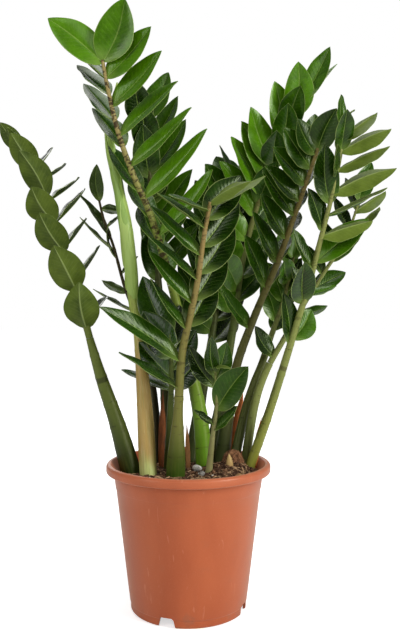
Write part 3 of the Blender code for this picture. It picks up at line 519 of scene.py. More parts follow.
def add_sheet(shape, front, back, tone, slots=(0, 0), spots=None):
    """A thin sheet from two grids of corners, closed round its edge. slots are those of the front
    and the back; spots gives the surface coordinate of each corner of a grid."""
    rows, cols = front.shape[0] - 1, front.shape[1]
    grid = (rows + 1) * cols
    faces = []
    for i in range(rows):
        for a in range(i * cols, (i + 1) * cols - 1):
            faces.append((a + cols, a + cols + 1, a + 1, a))
            faces.append((a + grid, a + 1 + grid, a + cols + 1 + grid, a + cols + grid))
    slots = list(slots) * (rows * (cols - 1)) + [slots[0]] * (2 * (rows + cols - 1))
    border = [*range(cols), *range(2 * cols - 1, grid, cols), *range(grid - 2, rows * cols - 1, -1),
              *range((rows - 1) * cols, 0, -cols)]
    faces += [(p, q, q + grid, p + grid) for p, q in zip(border, border[1:] + border[:1])]
    coords = spots and [tuple(spots[k % grid] for k in face) for face in faces]
    shape.add(np.vstack([front.reshape(-1, 3), back.reshape(-1, 3)]), faces, slots, tone, coords)


def fine_line(line, step):
    """A line sampled again at an even step."""
    lengths = lengths_along(line)
    count = max(3, int(round(lengths[-1] / step)) + 1)
    wanted = np.linspace(0.0, lengths[-1], count)
    return np.stack([np.interp(wanted, lengths, line[:, k]) for k in range(3)], axis=1)


def smooth_along(values, shares):
    """Values spread evenly from 0 to 1, blended smoothly."""
    points = spline([(v, 0.0, float(i)) for i, v in enumerate(values)], 12)
    return np.interp(np.asarray(shares) * (len(values) - 1), points[:, 2], points[:, 0])


def leaf_half_width(share):
    """Half the width, for a width of 1: a narrow wedge at the base and a drawn-out tip."""
    low, high = 0.66, 0.84
    peak = low / (low + high)
    return 0.5 * (share / peak) ** low * ((1 - share) / (1 - peak)) ** high


def add_leaf(shape, leaf, rng, tone):
    """One thick, glossy leaflet with a channelled midrib, thin wavy margins and a keel below."""
    rows, across = LEAF_ROWS, np.array(LEAF_ACROSS)
    points, dirs, normals = midrib(leaf, LEAF_SAMPLES)
    wave, phase = rng.uniform(0.35, 1.05), rng.uniform(0, 2 * math.pi)
    twist = rng.uniform(-12, 12)
    sweep = rng.uniform(-0.07, 0.07) * leaf["length"]
    open_out = rng.uniform(0.34, 0.5)
    top = np.zeros((rows + 1, len(across), 3))
    bottom = top.copy()
    shares = [0.5 - 0.5 * math.cos(math.pi * (0.06 + 0.94 * i / rows)) for i in range(rows + 1)]
    shares = [(s - shares[0]) / (1 - shares[0]) for s in shares]
    for i, share in enumerate(shares):
        at = share * LEAF_SAMPLES
        k = min(int(at), LEAF_SAMPLES - 1)
        centre = points[k] + (points[k + 1] - points[k]) * (at - k)
        d, n = dirs[k], normals[k]
        n = turned(n, d, twist * share)
        side = np.cross(d, n)
        centre = centre + side * sweep * math.sin(math.pi * share)
        half = leaf["width"] * leaf_half_width(min(share, 0.9985))
        half = max(half, STALK_WIDTH / 2 * (1 - share) ** 2, 0.16)
        blade = min(1.0, share / 0.12)
        v = np.abs(across)
        rise = half * (open_out * v - 0.2 * v * v) * blade
        rise += wave * v ** 3 * math.sin(2 * math.pi * (1.7 * share) + phase) * np.sign(across) * 0.6 * blade
        rise += wave * v ** 3 * math.sin(2 * math.pi * (3.1 * share) + 2 * phase) * 0.45 * blade
        rise -= 0.42 * np.exp(-((across * half) / 0.75) ** 2) * blade * (1 - 0.7 * share)
        thick = (0.42 + 0.75 * (1 - v ** 1.5)) * (1 - 0.45 * share)
        keel = 0.55 * np.exp(-((across * half) / 0.9) ** 2) * (1 - 0.8 * share)
        spread = across * half * math.cos(math.radians(14) * blade)
        top[i] = centre + side * spread[:, None] + n * (rise + 0.25)[:, None]
        bottom[i] = centre + side * spread[:, None] + n * (rise + 0.25 - thick - keel)[:, None]
    spots = [(share, (v + 1) / 2) for share in shares for v in LEAF_ACROSS]
    # tone: the painted shade of the leaflet's rank plus a random share
    add_sheet(shape, top, bottom, tone + 0.35 * rng.random(), (0, 1), spots)


# ---------------------------------------------------------------- materials
class Look:
    """A Principled material and short calls for the nodes that drive it."""

    def __init__(self, name, roughness, **sockets):
        self.material = bpy.data.materials.new(name)
        self.material.use_nodes = True
        self.tree = self.material.node_tree
        self.shader = self.tree.nodes["Principled BSDF"]
        self.shader.inputs["Roughness"].default_value = roughness
        for socket, value in sockets.items():
            self.shader.inputs[socket.replace("_", " ")].default_value = value

    def node(self, kind, values=(), **settings):
        """A new node; values are for its sockets, settings for the node itself."""
        made = self.tree.nodes.new(kind)
        for key, value in settings.items():
            setattr(made, key, value)
        for key, value in dict(values).items():
            made.inputs[key].default_value = value
        return made

    def link(self, source, target):
        self.tree.links.new(source, target)

    def feed(self, value, socket):
        """Sets a socket to a number or a colour, or links it to another node's output."""
        if isinstance(value, (int, float)):
            socket.default_value = value
        elif isinstance(value, tuple):
            socket.default_value = (*value, 1.0)
        else:
            self.link(value, socket)

    def number(self, operation, *values):
        made = self.node("ShaderNodeMath", operation=operation)
        for value, socket in zip(values, made.inputs):
            self.feed(value, socket)
        return made.outputs[0]

    def times(self, a, b):
        return self.number("MULTIPLY", a, b)

    def plus(self, a, b):
        return self.number("ADD", a, b)

    def less(self, a, b):
        return self.number("SUBTRACT", a, b)

    def step(self, value, low, high):
        """0 below low, 1 above high, smooth between."""
        made = self.node("ShaderNodeMapRange", {"From Min": low, "From Max": high},
                         interpolation_type="SMOOTHSTEP")
        self.link(value, made.inputs["Value"])
        return made.outputs["Result"]

    def mix(self, share, a, b):
        made = self.node("ShaderNodeMix", data_type="RGBA")
        for value, socket in ((share, made.inputs[0]), (a, made.inputs[6]), (b, made.inputs[7])):
            self.feed(value, socket)
        return made.outputs[2]

    def tint(self, colour, mask, amount, towards):
        """Moves a colour towards another by an amount where the mask is 1."""
        return self.mix(self.times(mask, amount), colour, towards)

    def stretched(self, coordinate, scale):
        made = self.node("ShaderNodeMapping", {"Scale": scale})
        self.link(coordinate, made.inputs[0])
        return made.outputs[0]

    def surface(self, scale_x=1.0, scale_y=1.0):
        """The piece's own surface coordinate, stretched."""
        coord = self.node("ShaderNodeUVMap", uv_map="surface")
        return self.stretched(coord.outputs[0], (scale_x, scale_y, 1.0))

    def place(self, scale=(1.0, 1.0, 1.0)):
        return self.stretched(self.node("ShaderNodeTexCoord").outputs["Object"], scale)

    def parts(self, vector):
        made = self.node("ShaderNodeSeparateXYZ")
        self.link(vector, made.inputs[0])
        return made.outputs

    def noise(self, vector, scale, detail=3.0, rough=0.5, distort=0.0):
        values = {"Scale": scale, "Detail": detail, "Roughness": rough, "Distortion": distort}
        made = self.node("ShaderNodeTexNoise", values)
        self.link(vector, made.inputs["Vector"])
        return made.outputs[0]

    def cells(self, vector, scale):
        made = self.node("ShaderNodeTexVoronoi", {"Scale": scale}, feature="F1")
        self.link(vector, made.inputs["Vector"])
        return made.outputs["Distance"]

    def tone(self):
        return self.node("ShaderNodeAttribute", attribute_name="tone").outputs["Fac"]

    def finish(self, colour, roughness=None, height=None, strength=0.3, distance=0.0005):
        self.link(colour, self.shader.inputs["Base Color"])
        if roughness is not None:
            self.link(roughness, self.shader.inputs["Roughness"])
        if height is not None:
            bump = self.node("ShaderNodeBump", {"Strength": strength, "Distance": distance})
            self.link(height, bump.inputs["Height"])
            self.link(bump.outputs[0], self.shader.inputs["Normal"])
        return self.material


def srgb(red, green, blue):
    """A screen colour from 0 to 255 as a linear one."""
    shares = (red / 255, green / 255, blue / 255)
    return tuple(c / 12.92 if c <= 10 / 255 else ((c + 0.055) / 1.055) ** 2.4 for c in shares)


def veins(look, slant=1.15, count=13.0):
    """Faint side veins that leave the midrib towards the tip, the soft swell between them, the distance
    from the midrib (0 to 1) and the share along the leaflet."""
    u, v, _ = look.parts(look.surface())
    from_mid = look.times(look.number("ABSOLUTE", look.less(v, 0.5)), 2.0)
    wander = look.noise(look.surface(3.0, 2.0), 2.5, 2.0)
    lean = look.less(u, look.times(look.number("POWER", from_mid, 0.8), 0.16 * slant))
    lean = look.plus(lean, look.times(wander, 0.03))
    wave = look.number("SINE", look.times(lean, 2 * math.pi * count))
    line = look.step(wave, 0.82, 1.0)
    fade = look.less(1.0, look.step(from_mid, 0.55, 0.95))
    return look.times(line, fade), look.times(wave, fade), from_mid, u


def upper_leaf(name, dark, light, rib, rim, gloss=0.24, sheen=False):
    """Waxy upper face: mottled green, pale midrib and a fine pale margin. sheen makes it mirror more."""
    look = Look(name, gloss, Coat_Weight=0.5 if sheen else 0.16, Coat_Roughness=0.14,
                Specular_IOR_Level=0.5 if sheen else 0.32,
                Specular_Tint=(1.0, 1.0, 1.0, 1.0) if sheen else WAXY)
    vein, swell, from_mid, u = veins(look)
    mottle = look.noise(look.place(), 62.0, 4.0, 0.6)
    tone = look.tone()
    # tone holds the painted shade of the leaflet's rank plus a random share
    share = look.plus(look.times(tone, 0.62), look.times(mottle, 0.9))
    colour = look.mix(look.step(share, 0.32, 1.12), dark, light)
    young = look.times(look.less(1.0, look.step(u, 0.0, 0.28)), 0.35)
    colour = look.mix(young, colour, rib)
    colour = look.tint(colour, vein, 0.07, rib)
    speck = look.step(look.cells(look.place(), 420.0), 0.0, 0.16)
    colour = look.tint(colour, look.less(1.0, speck), 0.10, rib)
    middle = look.less(1.0, look.step(from_mid, 0.012, 0.05))
    colour = look.tint(colour, middle, 0.5, rib)
    colour = look.tint(colour, look.step(from_mid, 0.955, 0.985), 0.5, rim)
    patch = look.noise(look.place(), 140.0, 3.0)
    rough = look.plus(look.times(patch, 0.16), gloss - 0.06)
    height = look.plus(look.times(vein, -0.2), look.times(mottle, 1.1))
    height = look.plus(height, look.times(swell, 0.22))
    return look.finish(colour, rough, height, 0.32, 0.0008)


def under_leaf(name, dark, light, rib):
    """Paler, matt underside with a raised midrib."""
    look = Look(name, 0.5, Specular_IOR_Level=0.28, Specular_Tint=WAXY)
    vein, _, from_mid, _ = veins(look)
    mottle = look.noise(look.place(), 80.0, 4.0, 0.6)
    tone = look.tone()
    # tone holds the painted shade of the leaflet's rank plus a random share
    share = look.plus(look.times(tone, 0.5), look.times(mottle, 0.9))
    colour = look.mix(look.step(share, 0.3, 1.1), dark, light)
    colour = look.tint(colour, vein, 0.08, rib)
    middle = look.less(1.0, look.step(from_mid, 0.02, 0.075))
    colour = look.tint(colour, middle, 0.55, rib)
    rough = look.plus(look.times(mottle, 0.18), 0.4)
    height = look.plus(look.times(vein, 0.2), mottle)
    return look.finish(colour, rough, height, 0.3, 0.0005)


def stalk_look(name, low, high, spot, spots=0.5, bands=0.5, scar=None):
    """Fleshy stalk: a colour that changes up its length, fine streaks, dark cross blotches, one scar."""
    look = Look(name, 0.42, Specular_IOR_Level=0.3, Specular_Tint=STALK_WAX, Coat_Weight=0.05,
                Coat_Roughness=0.3)
    tone = look.tone()
    colour = look.mix(look.step(tone, 0.05, 0.85), low, high)
    streak = look.noise(look.surface(14.0, 1.6), 2.0, 4.0, 0.6)
    colour = look.tint(colour, look.step(streak, 0.45, 0.75), 0.3, high)
    band = look.noise(look.surface(1.2, 16.0), 1.5, 3.0, 0.6, 0.6)
    dark = look.step(band, 0.66 - 0.12 * bands, 0.78 - 0.12 * bands)
    small = look.noise(look.surface(9.0, 34.0), 1.6, 2.0, 0.5)
    dark = look.number("MAXIMUM", dark, look.step(small, 0.66, 0.74))
    if scar:
        off = look.number("ABSOLUTE", look.less(tone, scar))
        ring = look.less(1.0, look.step(look.plus(off, look.times(band, 0.012)),
                                                      0.018, 0.028))
        dark = look.number("MAXIMUM", dark, ring)
    colour = look.mix(look.times(dark, spots), colour, spot)
    rough = look.plus(look.times(streak, 0.25), 0.3)
    height = look.plus(look.times(streak, 1.0), look.times(dark, -0.35))
    return look.finish(colour, rough, height, 0.35, 0.0006)


# Greens of the leaf faces, as dark and light ends of the mottle.
EMERALD = (srgb(10, 28, 1), srgb(42, 78, 5))
BRIGHT = (srgb(28, 62, 1), srgb(80, 128, 8))
DEEP = (srgb(24, 38, 14), srgb(60, 76, 34))
MIDDLE = (srgb(14, 38, 1), srgb(62, 104, 8))
OLIVE = (srgb(66, 84, 22), srgb(104, 122, 44))
DARK_OLIVE = (srgb(34, 50, 8), srgb(84, 100, 32))
GREY_OLIVE = (srgb(70, 84, 40), srgb(108, 120, 66))
RANK_PAINTED_SHADE = (0.5, -0.12, 0.38)      # painted light and shade by rank: how light the left, right and end leaflets are painted, with the right rank darkest as painted shade
WAXY = (0.8, 1.0, 0.5, 1.0)
STALK_WAX = (1.0, 0.97, 0.6, 1.0)
SCARS = {"far_left": 0.72, "right": 0.86, "dark_right": 0.6, "top_right": 0.5}   # share up the bare stem
SHEEN = ("short_left",)     # fronds whose leaflets mirror the room most
RIB = srgb(150, 176, 84)
RIM = srgb(176, 192, 112)
GREENS = {
    "far_left": (EMERALD, DARK_OLIVE), "tall_left": (BRIGHT, OLIVE), "left_back": (MIDDLE, GREY_OLIVE),
    "centre_front": (EMERALD, OLIVE), "dark_right": (EMERALD, OLIVE), "right": (MIDDLE, OLIVE),
    "right_back_inner": (MIDDLE, OLIVE), "right_back": (EMERALD, OLIVE), "top_right": (BRIGHT, OLIVE),
    "centre_back": (EMERALD, OLIVE), "thin_left": (DEEP, GREY_OLIVE), "short_front": (EMERALD, OLIVE),
    "short_left": (EMERALD, OLIVE),
}
# Stalk colours: at the mix, at the top of the bare stem, up the rachis, and of the blotches.
STALKS = {
    "far_left": (srgb(32, 46, 14), srgb(92, 104, 42), srgb(96, 108, 46), srgb(22, 24, 12)),
    "tall_left": (srgb(96, 140, 26), srgb(122, 140, 54), srgb(158, 140, 88), srgb(48, 28, 16)),
    "left_back": (srgb(44, 46, 22), srgb(56, 62, 28), srgb(78, 80, 40), srgb(26, 20, 12)),
    "centre_front": (srgb(50, 78, 16), srgb(108, 108, 50), srgb(140, 118, 70), srgb(44, 32, 18)),
    "dark_right": (srgb(82, 92, 54), srgb(84, 84, 40), srgb(116, 102, 54), srgb(40, 32, 18)),
    "right": (srgb(132, 136, 52), srgb(122, 130, 66), srgb(128, 132, 72), srgb(62, 56, 26)),
    "right_back_inner": (srgb(60, 70, 28), srgb(92, 100, 48), srgb(106, 108, 56), srgb(44, 36, 20)),
    "right_back": (srgb(68, 76, 32), srgb(118, 126, 66), srgb(116, 122, 66), srgb(58, 50, 28)),
    "top_right": (srgb(78, 92, 48), srgb(92, 106, 50), srgb(126, 122, 68), srgb(50, 42, 24)),
    "centre_back": (srgb(58, 68, 30), srgb(72, 84, 38), srgb(100, 102, 54), srgb(38, 30, 18)),
    "thin_left": (srgb(38, 34, 18), srgb(46, 40, 24), srgb(66, 56, 34), srgb(24, 16, 10)),
    "short_front": (srgb(150, 146, 96), srgb(136, 134, 86), srgb(112, 120, 62), srgb(88, 74, 44)),
    "short_left": (srgb(58, 70, 28), srgb(74, 88, 36), srgb(86, 100, 44), srgb(38, 34, 18)),
}


# ---------------------------------------------------------------- plant
def node_rings(seed, every=26.0, high=0.35):
    """Small uneven rings, where old scales were joined to a stalk."""
    rng = random.Random(seed)
    places = [every * (k + rng.uniform(0.2, 0.8)) for k in range(14)]

    def ridges(along_it, turn):
        ring = sum(math.exp(-((along_it - p) / 1.1) ** 2) for p in places)
        round_it = 2 * math.pi * turn
        slow = math.sin(round_it * 3 + along_it * 0.06) + math.sin(round_it * 5 - along_it * 0.04)
        return high * ring + 0.07 * slow

    return ridges


def make_frond(number, name, frond, leaves):
    """The bare stalk of one frond, and its rachis with the leaflets."""
    low, high = split(frond)
    foot, mid, top, spot = STALKS[name]
    rng = random.Random(100 + number)
    line = fine_line(low, 3.0)
    radii = smooth_along(frond["girth"], np.linspace(0, 1, len(line)))
    shape = Shape()
    add_tube(shape, line, radii, STEM_SIDES, ridges=node_rings(number))
    spots = 0.8 if name in ("tall_left", "left_back", "thin_left") else 0.62
    look = stalk_look(f"stalk_{name}", foot, mid, spot, spots, scar=SCARS.get(name))
    shape.build(f"stem_{name}_skin", [look], [f"stem_{name}"], f"stem_{name}")
    line = fine_line(high, 2.5)
    radii = smooth_along(frond["rachis"], np.linspace(0, 1, len(line)))
    shape = Shape()
    add_tube(shape, line, radii, RACHIS_SIDES, slot=2, ridges=node_rings(number + 50, 19.0, 0.22))
    for leaf in leaves:
        # the rank's painted shade goes in as the base of the leaflet's tone
        add_leaf(shape, leaf, rng, RANK_PAINTED_SHADE[leaf["rank"]])
    (dark, light), (under_dark, under_light) = GREENS[name]
    looks = [upper_leaf(f"upper_{name}", dark, light, RIB, RIM, sheen=name in SHEEN),
             under_leaf(f"under_{name}", under_dark, under_light, srgb(150, 164, 100)),
             stalk_look(f"rachis_{name}", mid, top, spot, 0.95 if name == "tall_left" else 0.55,
                        bands=1.6 if name == "tall_left" else 1.0)]
    shape.build(f"leaves_{name}_blades", looks, [f"leaves_{name}"], f"leaf_{name}")


def add_wrap(shape, line, radii, start, end, turn, rng):
    """A rolled leaflet: a pointed sheet that lies round the spear between two shares of its length."""
    rows, cols = 26, 13
    count = len(line) - 1
    outer = np.zeros((rows + 1, cols, 3))
    inner = outer.copy()
    tangents = np.gradient(line, axis=0)
    for i in range(rows + 1):
        share = i / rows
        at = (start + (end - start) * share) * count
        k = min(int(at), count - 1)
        centre = line[k] + (line[k + 1] - line[k]) * (at - k)
        radius = float(np.interp(at, range(count + 1), radii))
        d = tangents[k] / np.linalg.norm(tangents[k])
        side = np.cross(d, (0.0, 1.0, 0.0))
        side /= np.linalg.norm(side)
        other = np.cross(d, side)
        reach = math.radians(128) * (1 - share) ** 0.55 * min(1.0, 0.35 + 4 * share)
        lift = 0.4 + 1.9 * math.sin(math.pi * min(1.0, share * 1.05)) ** 0.7
        lift += 1.6 * max(0.0, share - 0.8) / 0.2
        for j in range(cols):
            t = -1 + 2 * j / (cols - 1)
            angle = turn + reach * t + 0.25 * share
            out = side * math.cos(angle) + other * math.sin(angle)
            ridge = 0.45 * math.exp(-(t / 0.16) ** 2)
            outer[i, j] = centre + out * (radius + lift + ridge + (0.4 + 0.8 * share) * abs(t) ** 4)
            inner[i, j] = centre + out * (radius + lift - 0.8)
    spots = [(j / cols, i * 0.02) for i in range(rows + 1) for j in range(cols)]
    add_sheet(shape, inner, outer, 0.5 + 0.5 * rng.random(), (1, 1), spots)


def spear_stalk_look():
    """Tan below and yellow-green above, with fine streaks."""
    tan, fresh = srgb(178, 148, 82), srgb(168, 196, 88)
    look = Look("spear_stalk", 0.4, Specular_IOR_Level=0.4)
    tone = look.tone()
    streak = look.noise(look.surface(12.0, 1.1), 2.4, 4.0, 0.6)
    wash = look.noise(look.surface(2.0, 1.2), 1.6, 3.0, 0.5)
    at = look.plus(tone, look.times(wash, 0.16))
    colour = look.mix(look.step(at, 0.10, 0.17), srgb(190, 200, 122), tan)
    colour = look.mix(look.step(at, 0.34, 0.56), colour, fresh)
    colour = look.tint(colour, look.step(streak, 0.48, 0.66), 0.45, srgb(140, 136, 62))
    pale = look.noise(look.surface(20.0, 1.4), 3.1, 3.0)
    colour = look.tint(colour, look.step(pale, 0.55, 0.7), 0.35, srgb(222, 214, 160))
    spot = look.step(look.noise(look.surface(5.0, 12.0), 2.2, 2.0), 0.68, 0.76)
    colour = look.tint(colour, spot, 0.5, srgb(150, 120, 70))
    rough = look.plus(look.times(streak, 0.25), 0.3)
    return look.finish(colour, rough, streak, 0.4, 0.0008)


def spear_leaves_look():
    """Pale green, still unopened leaflets."""
    look = Look("spear_leaves", 0.34, Specular_IOR_Level=0.45)
    grain = look.noise(look.surface(16.0, 1.5), 2.0, 3.0)
    colour = look.mix(grain, srgb(150, 188, 76), srgb(204, 224, 130))
    colour = look.tint(colour, look.step(look.tone(), 0.5, 1.0), 0.75, srgb(108, 154, 44))
    rough = look.plus(look.times(grain, 0.2), 0.26)
    return look.finish(colour, rough, grain, 0.3, 0.0006)


def make_shoot():
    """The pale spear with its rolled leaflets."""
    path = spline(NEW_SHOOT["path"])
    line = fine_line(np.vstack([path[0] - (0.0, 0.0, STEM_DEPTH), path]), 3.0)
    radii = smooth_along(NEW_SHOOT["girth"], np.linspace(0, 1, len(line)))
    radii = np.maximum(radii, 0.5)
    shape = Shape()
    add_tube(shape, line, radii, 24, ridges=node_rings(77, 60.0, 0.3))
    rng = random.Random(7)
    for start, end, turn in ((0.44, 0.62, 2.5), (0.50, 0.70, 2.0), (0.55, 0.77, 0.5), (0.60, 0.84, -2.6),
                             (0.66, 0.90, 1.2), (0.72, 0.95, -0.6), (0.79, 0.99, 1.9)):
        add_wrap(shape, line, radii, start, end, turn, rng)
    looks = [spear_stalk_look(), spear_leaves_look()]
    shape.build("new_shoot_spear", looks, ["new_shoot"], "young_shoot")


# ---------------------------------------------------------------- pot
def wall_radius(height):
    """Outer radius of the plain, tapered wall."""
    return FOOT_RADIUS + (BODY_TOP_RADIUS - FOOT_RADIUS) * height / (POT_HEIGHT - RIM_DEPTH)


def arc(centre, radius, start, end, count):
    """Points of a round corner in (radius, height), from one angle to another in degrees."""
    found = []
    for k in range(count + 1):
        t = math.radians(start + (end - start) * k / count)
        found.append((centre[0] + radius * math.cos(t), centre[1] + radius * math.sin(t)))
    return found


def circle(radius, height, sides):
    """Corners of a level ring."""
    turns = [2 * math.pi * k / sides for k in range(sides)]
    return [(radius * math.cos(t), radius * math.sin(t), height) for t in turns]


def pot_profile():
    """The wall from the middle of the underside, up the outside, over the rim and down to the floor."""
    under_rim = POT_HEIGHT - RIM_DEPTH
    ceiling = CHANNEL_HEIGHT
    points = [(0.0, 0.0), (CHANNEL_INNER - 2.6, 0.0), (CHANNEL_INNER - 2.0, 0.6), (CHANNEL_INNER, ceiling),
              (FOOT_RADIUS - 2.4, ceiling), (FOOT_RADIUS - 2.6, 0.4), (FOOT_RADIUS - 2.2, 0.0)]
    points += arc((FOOT_RADIUS - 2.0, 2.2), 2.2, -90, -4, 6)
    ledge = wall_radius(LEDGE_HEIGHT)
    points += [(ledge - LEDGE_STEP, LEDGE_HEIGHT - 0.7), (ledge - LEDGE_STEP * 0.85, LEDGE_HEIGHT - 0.25),
               (ledge - 0.15, LEDGE_HEIGHT + 0.25), (ledge, LEDGE_HEIGHT + 0.7)]
    for k in range(1, 8):
        height = LEDGE_HEIGHT + (STACK_HEIGHT - LEDGE_HEIGHT) * k / 8
        points.append((wall_radius(height), height))
    points += [(wall_radius(STACK_HEIGHT), STACK_HEIGHT - 0.5),
               (wall_radius(STACK_HEIGHT) + STACK_STEP * 0.5, STACK_HEIGHT),
               (wall_radius(STACK_HEIGHT) + STACK_STEP, STACK_HEIGHT + 0.5),
               (wall_radius(under_rim) + STACK_STEP, under_rim - 0.6),
               (wall_radius(under_rim) + STACK_STEP + 0.5, under_rim - 0.1)]
    points += [(RIM_RADIUS - 4.0, under_rim - 0.4)]
    points += arc((RIM_RADIUS - 2.2, under_rim + 1.9), 2.2, -90, -8, 5)
    points += arc((RIM_RADIUS - 3.4, POT_HEIGHT - 3.4), 3.4, 6, 112, 9)
    points += [(RIM_RADIUS - 5.8, POT_HEIGHT - 1.4), (RIM_RADIUS - 6.6, POT_HEIGHT - 3.6)]
    for height in (under_rim, 100.0, 60.0, 30.0):
        points.append((wall_radius(height) - WALL, height))
    points += [(wall_radius(ceiling) - WALL - 0.6, ceiling + FLOOR + 0.8),
               (wall_radius(ceiling) - WALL - 1.6, ceiling + FLOOR),
               (CHANNEL_INNER - 1.2, ceiling + FLOOR), (CHANNEL_INNER - 3.2, FLOOR), (0.0, FLOOR)]
    return points


def notch_cutter(turn):
    """A tapered block that cuts one foot notch."""
    out = np.array([math.cos(turn), math.sin(turn), 0.0])
    side = np.array([-math.sin(turn), math.cos(turn), 0.0])
    wide, narrow = NOTCH_WIDTH / 2, NOTCH_TOP_WIDTH / 2
    half = [(wide + 1, -3.0), (wide, 0.5), (narrow + 0.4, NOTCH_HEIGHT - 2.6),
            (narrow - 1.2, NOTCH_HEIGHT - 1.2)]
    section = [(-x, z) for x, z in half] + half[::-1]
    corners = []
    for reach in (FOOT_RADIUS - 12, FOOT_RADIUS + 8):
        corners += [(out * reach + side * x + (0, 0, z)) * MM for x, z in section]
    n = len(section)
    faces = [tuple(range(n)), tuple(reversed(range(n, 2 * n)))]
    faces += [(k, k + n, (k + 1) % n + n, (k + 1) % n) for k in range(n)]
    mesh = bpy.data.meshes.new("notch")
    mesh.from_pydata([tuple(c) for c in corners], [], faces)
    work = bmesh.new()
    work.from_mesh(mesh)
    bmesh.ops.recalc_face_normals(work, faces=work.faces)
    work.to_mesh(mesh)
    work.free()
    made = bpy.data.objects.new("notch", mesh)
    bpy.context.scene.collection.objects.link(made)
    return made


def pot_look():
    """Moulded plastic: faint flow mottle, fine scuffs, dust that is thicker towards the foot, a rim band
    painted lighter as a painted highlight, and small scratches.
    """
    look = Look("moulded_terracotta", 0.4, Specular_IOR_Level=0.42, Specular_Tint=(1.0, 0.86, 0.72, 1.0),
                Sheen_Weight=0.35, Sheen_Roughness=0.5, Sheen_Tint=(1.0, 0.72, 0.52, 1.0))
    spot = look.place()
    z = look.parts(spot)[2]
    flow = look.noise(look.place((1.0, 1.0, 0.35)), 16.0, 4.0, 0.55, 0.3)
    colour = look.mix(look.step(flow, 0.3, 0.75), srgb(166, 77, 40), srgb(184, 92, 52))
    grain = look.noise(spot, 900.0, 3.0, 0.6)
    colour = look.tint(colour, look.step(grain, 0.52, 0.8), 0.12, srgb(226, 150, 112))
    streak = look.noise(look.place((1.0, 1.0, 0.06)), 60.0, 3.0, 0.6)
    colour = look.tint(colour, look.step(streak, 0.6, 0.78), 0.14, srgb(150, 76, 48))
    # painted highlight: the rim band is painted lighter, as if it caught the light
    rim = look.step(z, (POT_HEIGHT - RIM_DEPTH - 2) * MM, (POT_HEIGHT - 2) * MM)
    colour = look.tint(colour, rim, 0.14, srgb(218, 142, 108))
    dust = look.noise(spot, 55.0, 4.0, 0.65)
    low = look.less(1.0, look.step(z, 0.0, 0.03))
    marks = look.times(look.step(dust, 0.56, 0.72), look.plus(look.times(low, 0.5), 0.12))
    colour = look.mix(marks, colour, srgb(150, 92, 66))
    scratch = look.step(look.noise(look.place((1.0, 1.0, 0.18)), 210.0, 2.0, 0.4, 1.2), 0.70, 0.74)
    colour = look.tint(colour, scratch, 0.16, srgb(232, 170, 138))
    rough = look.plus(look.times(flow, 0.12), look.times(scratch, 0.15))
    rough = look.plus(rough, 0.3)
    height = look.plus(look.times(grain, 0.35), look.times(flow, 1.0))
    return look.finish(colour, rough, height, 0.18, 0.0004)


def make_pot():
    """The turned shell with its foot notches cut out."""
    profile = pot_profile()
    corners = [corner for radius, height in profile for corner in circle(radius, height, POT_SIDES)]
    last = len(profile) - 1
    faces = ring_faces(last - 1, POT_SIDES, POT_SIDES)
    faces += fan_faces((last - 1) * POT_SIDES, POT_SIDES, last * POT_SIDES)
    faces += [tuple(reversed(face)) for face in fan_faces(POT_SIDES, POT_SIDES, 0)]
    shape = Shape()
    shape.add(corners, faces, 0, 0.5)
    pot = shape.build("pot_shell", [pot_look()], ["pot"], "terracotta_plastic")
    work = bmesh.new()
    work.from_mesh(pot.data)
    loose = [v for v in work.verts if not v.link_faces]
    bmesh.ops.delete(work, geom=loose, context="VERTS")
    work.to_mesh(pot.data)
    work.free()
    for k in range(NOTCH_COUNT):
        cutter = notch_cutter(math.radians(NOTCH_TURN - 90 + 360 * k / NOTCH_COUNT))
        step = pot.modifiers.new(f"notch_{k}", "BOOLEAN")
        step.operation = "DIFFERENCE"
        step.solver = "EXACT"
        step.object = cutter
        with bpy.context.temp_override(object=pot, active_object=pot):
            bpy.ops.object.modifier_apply(modifier=step.name)
        bpy.data.objects.remove(cutter)
    pot.data.shade_smooth()
    pot.data.set_sharp_from_angle(angle=math.radians(32))


# ---------------------------------------------------------------- potting mix and what lies on it
CROWN_CENTRE = (47, 10, 143)
CROWN_SIZE = (11.0, 9.0, 14.0)      # half extents
BUD_PATH = ((43, -5, 128), (43, -5, 138), (42.8, -5, 146), (42.5, -5, 152), (42, -5, 158))
HEAP_CENTRE = (43, 3)
HEAP_SPREAD = 16.0
HEAP_HEIGHT = 11.0
BED_RINGS = 46
BED_SIDES = 120
CRUMBS = 1500
FIBRES = 520
PERLITE_BITS = 34
CROWN_CRUMBS = 260
DEAD_ROOTS = 420
# Pieces that lie on the mix: centre, half extents, clear radius round them, and slot.
SCRAPS = {
    "bark_chip_left": ((-18, -52, 139.5), (7.0, 3.6, 2.2), 7, "dry_brown"),
    "bark_chip_front": ((26, -50, 139.5), (6.4, 4.0, 2.4), 7, "dry_brown"),
    "bark_chip_right": ((52, -26, 139.5), (6.2, 4.2, 2.6), 7, "dry_tan"),
    "grey_pebble": ((14, -17, 140), (3.4, 3.0, 2.6), 4.5, "pebble"),
    "perlite_lump": ((9, 5, 140.5), (5.0, 3.4, 3.4), 6, "perlite"),
}


def mix_height(x, y):
    """The gently bumpy top of the mix, without the heap."""
    waves = (math.sin(x * 0.21 + 1.3) * math.cos(y * 0.17) + 0.6 * math.sin(x * 0.43 + y * 0.37)
             + 0.4 * math.cos(y * 0.53 - x * 0.29 + 2.0))
    return SOIL_TOP + MIX_BUMPS * waves * 0.6


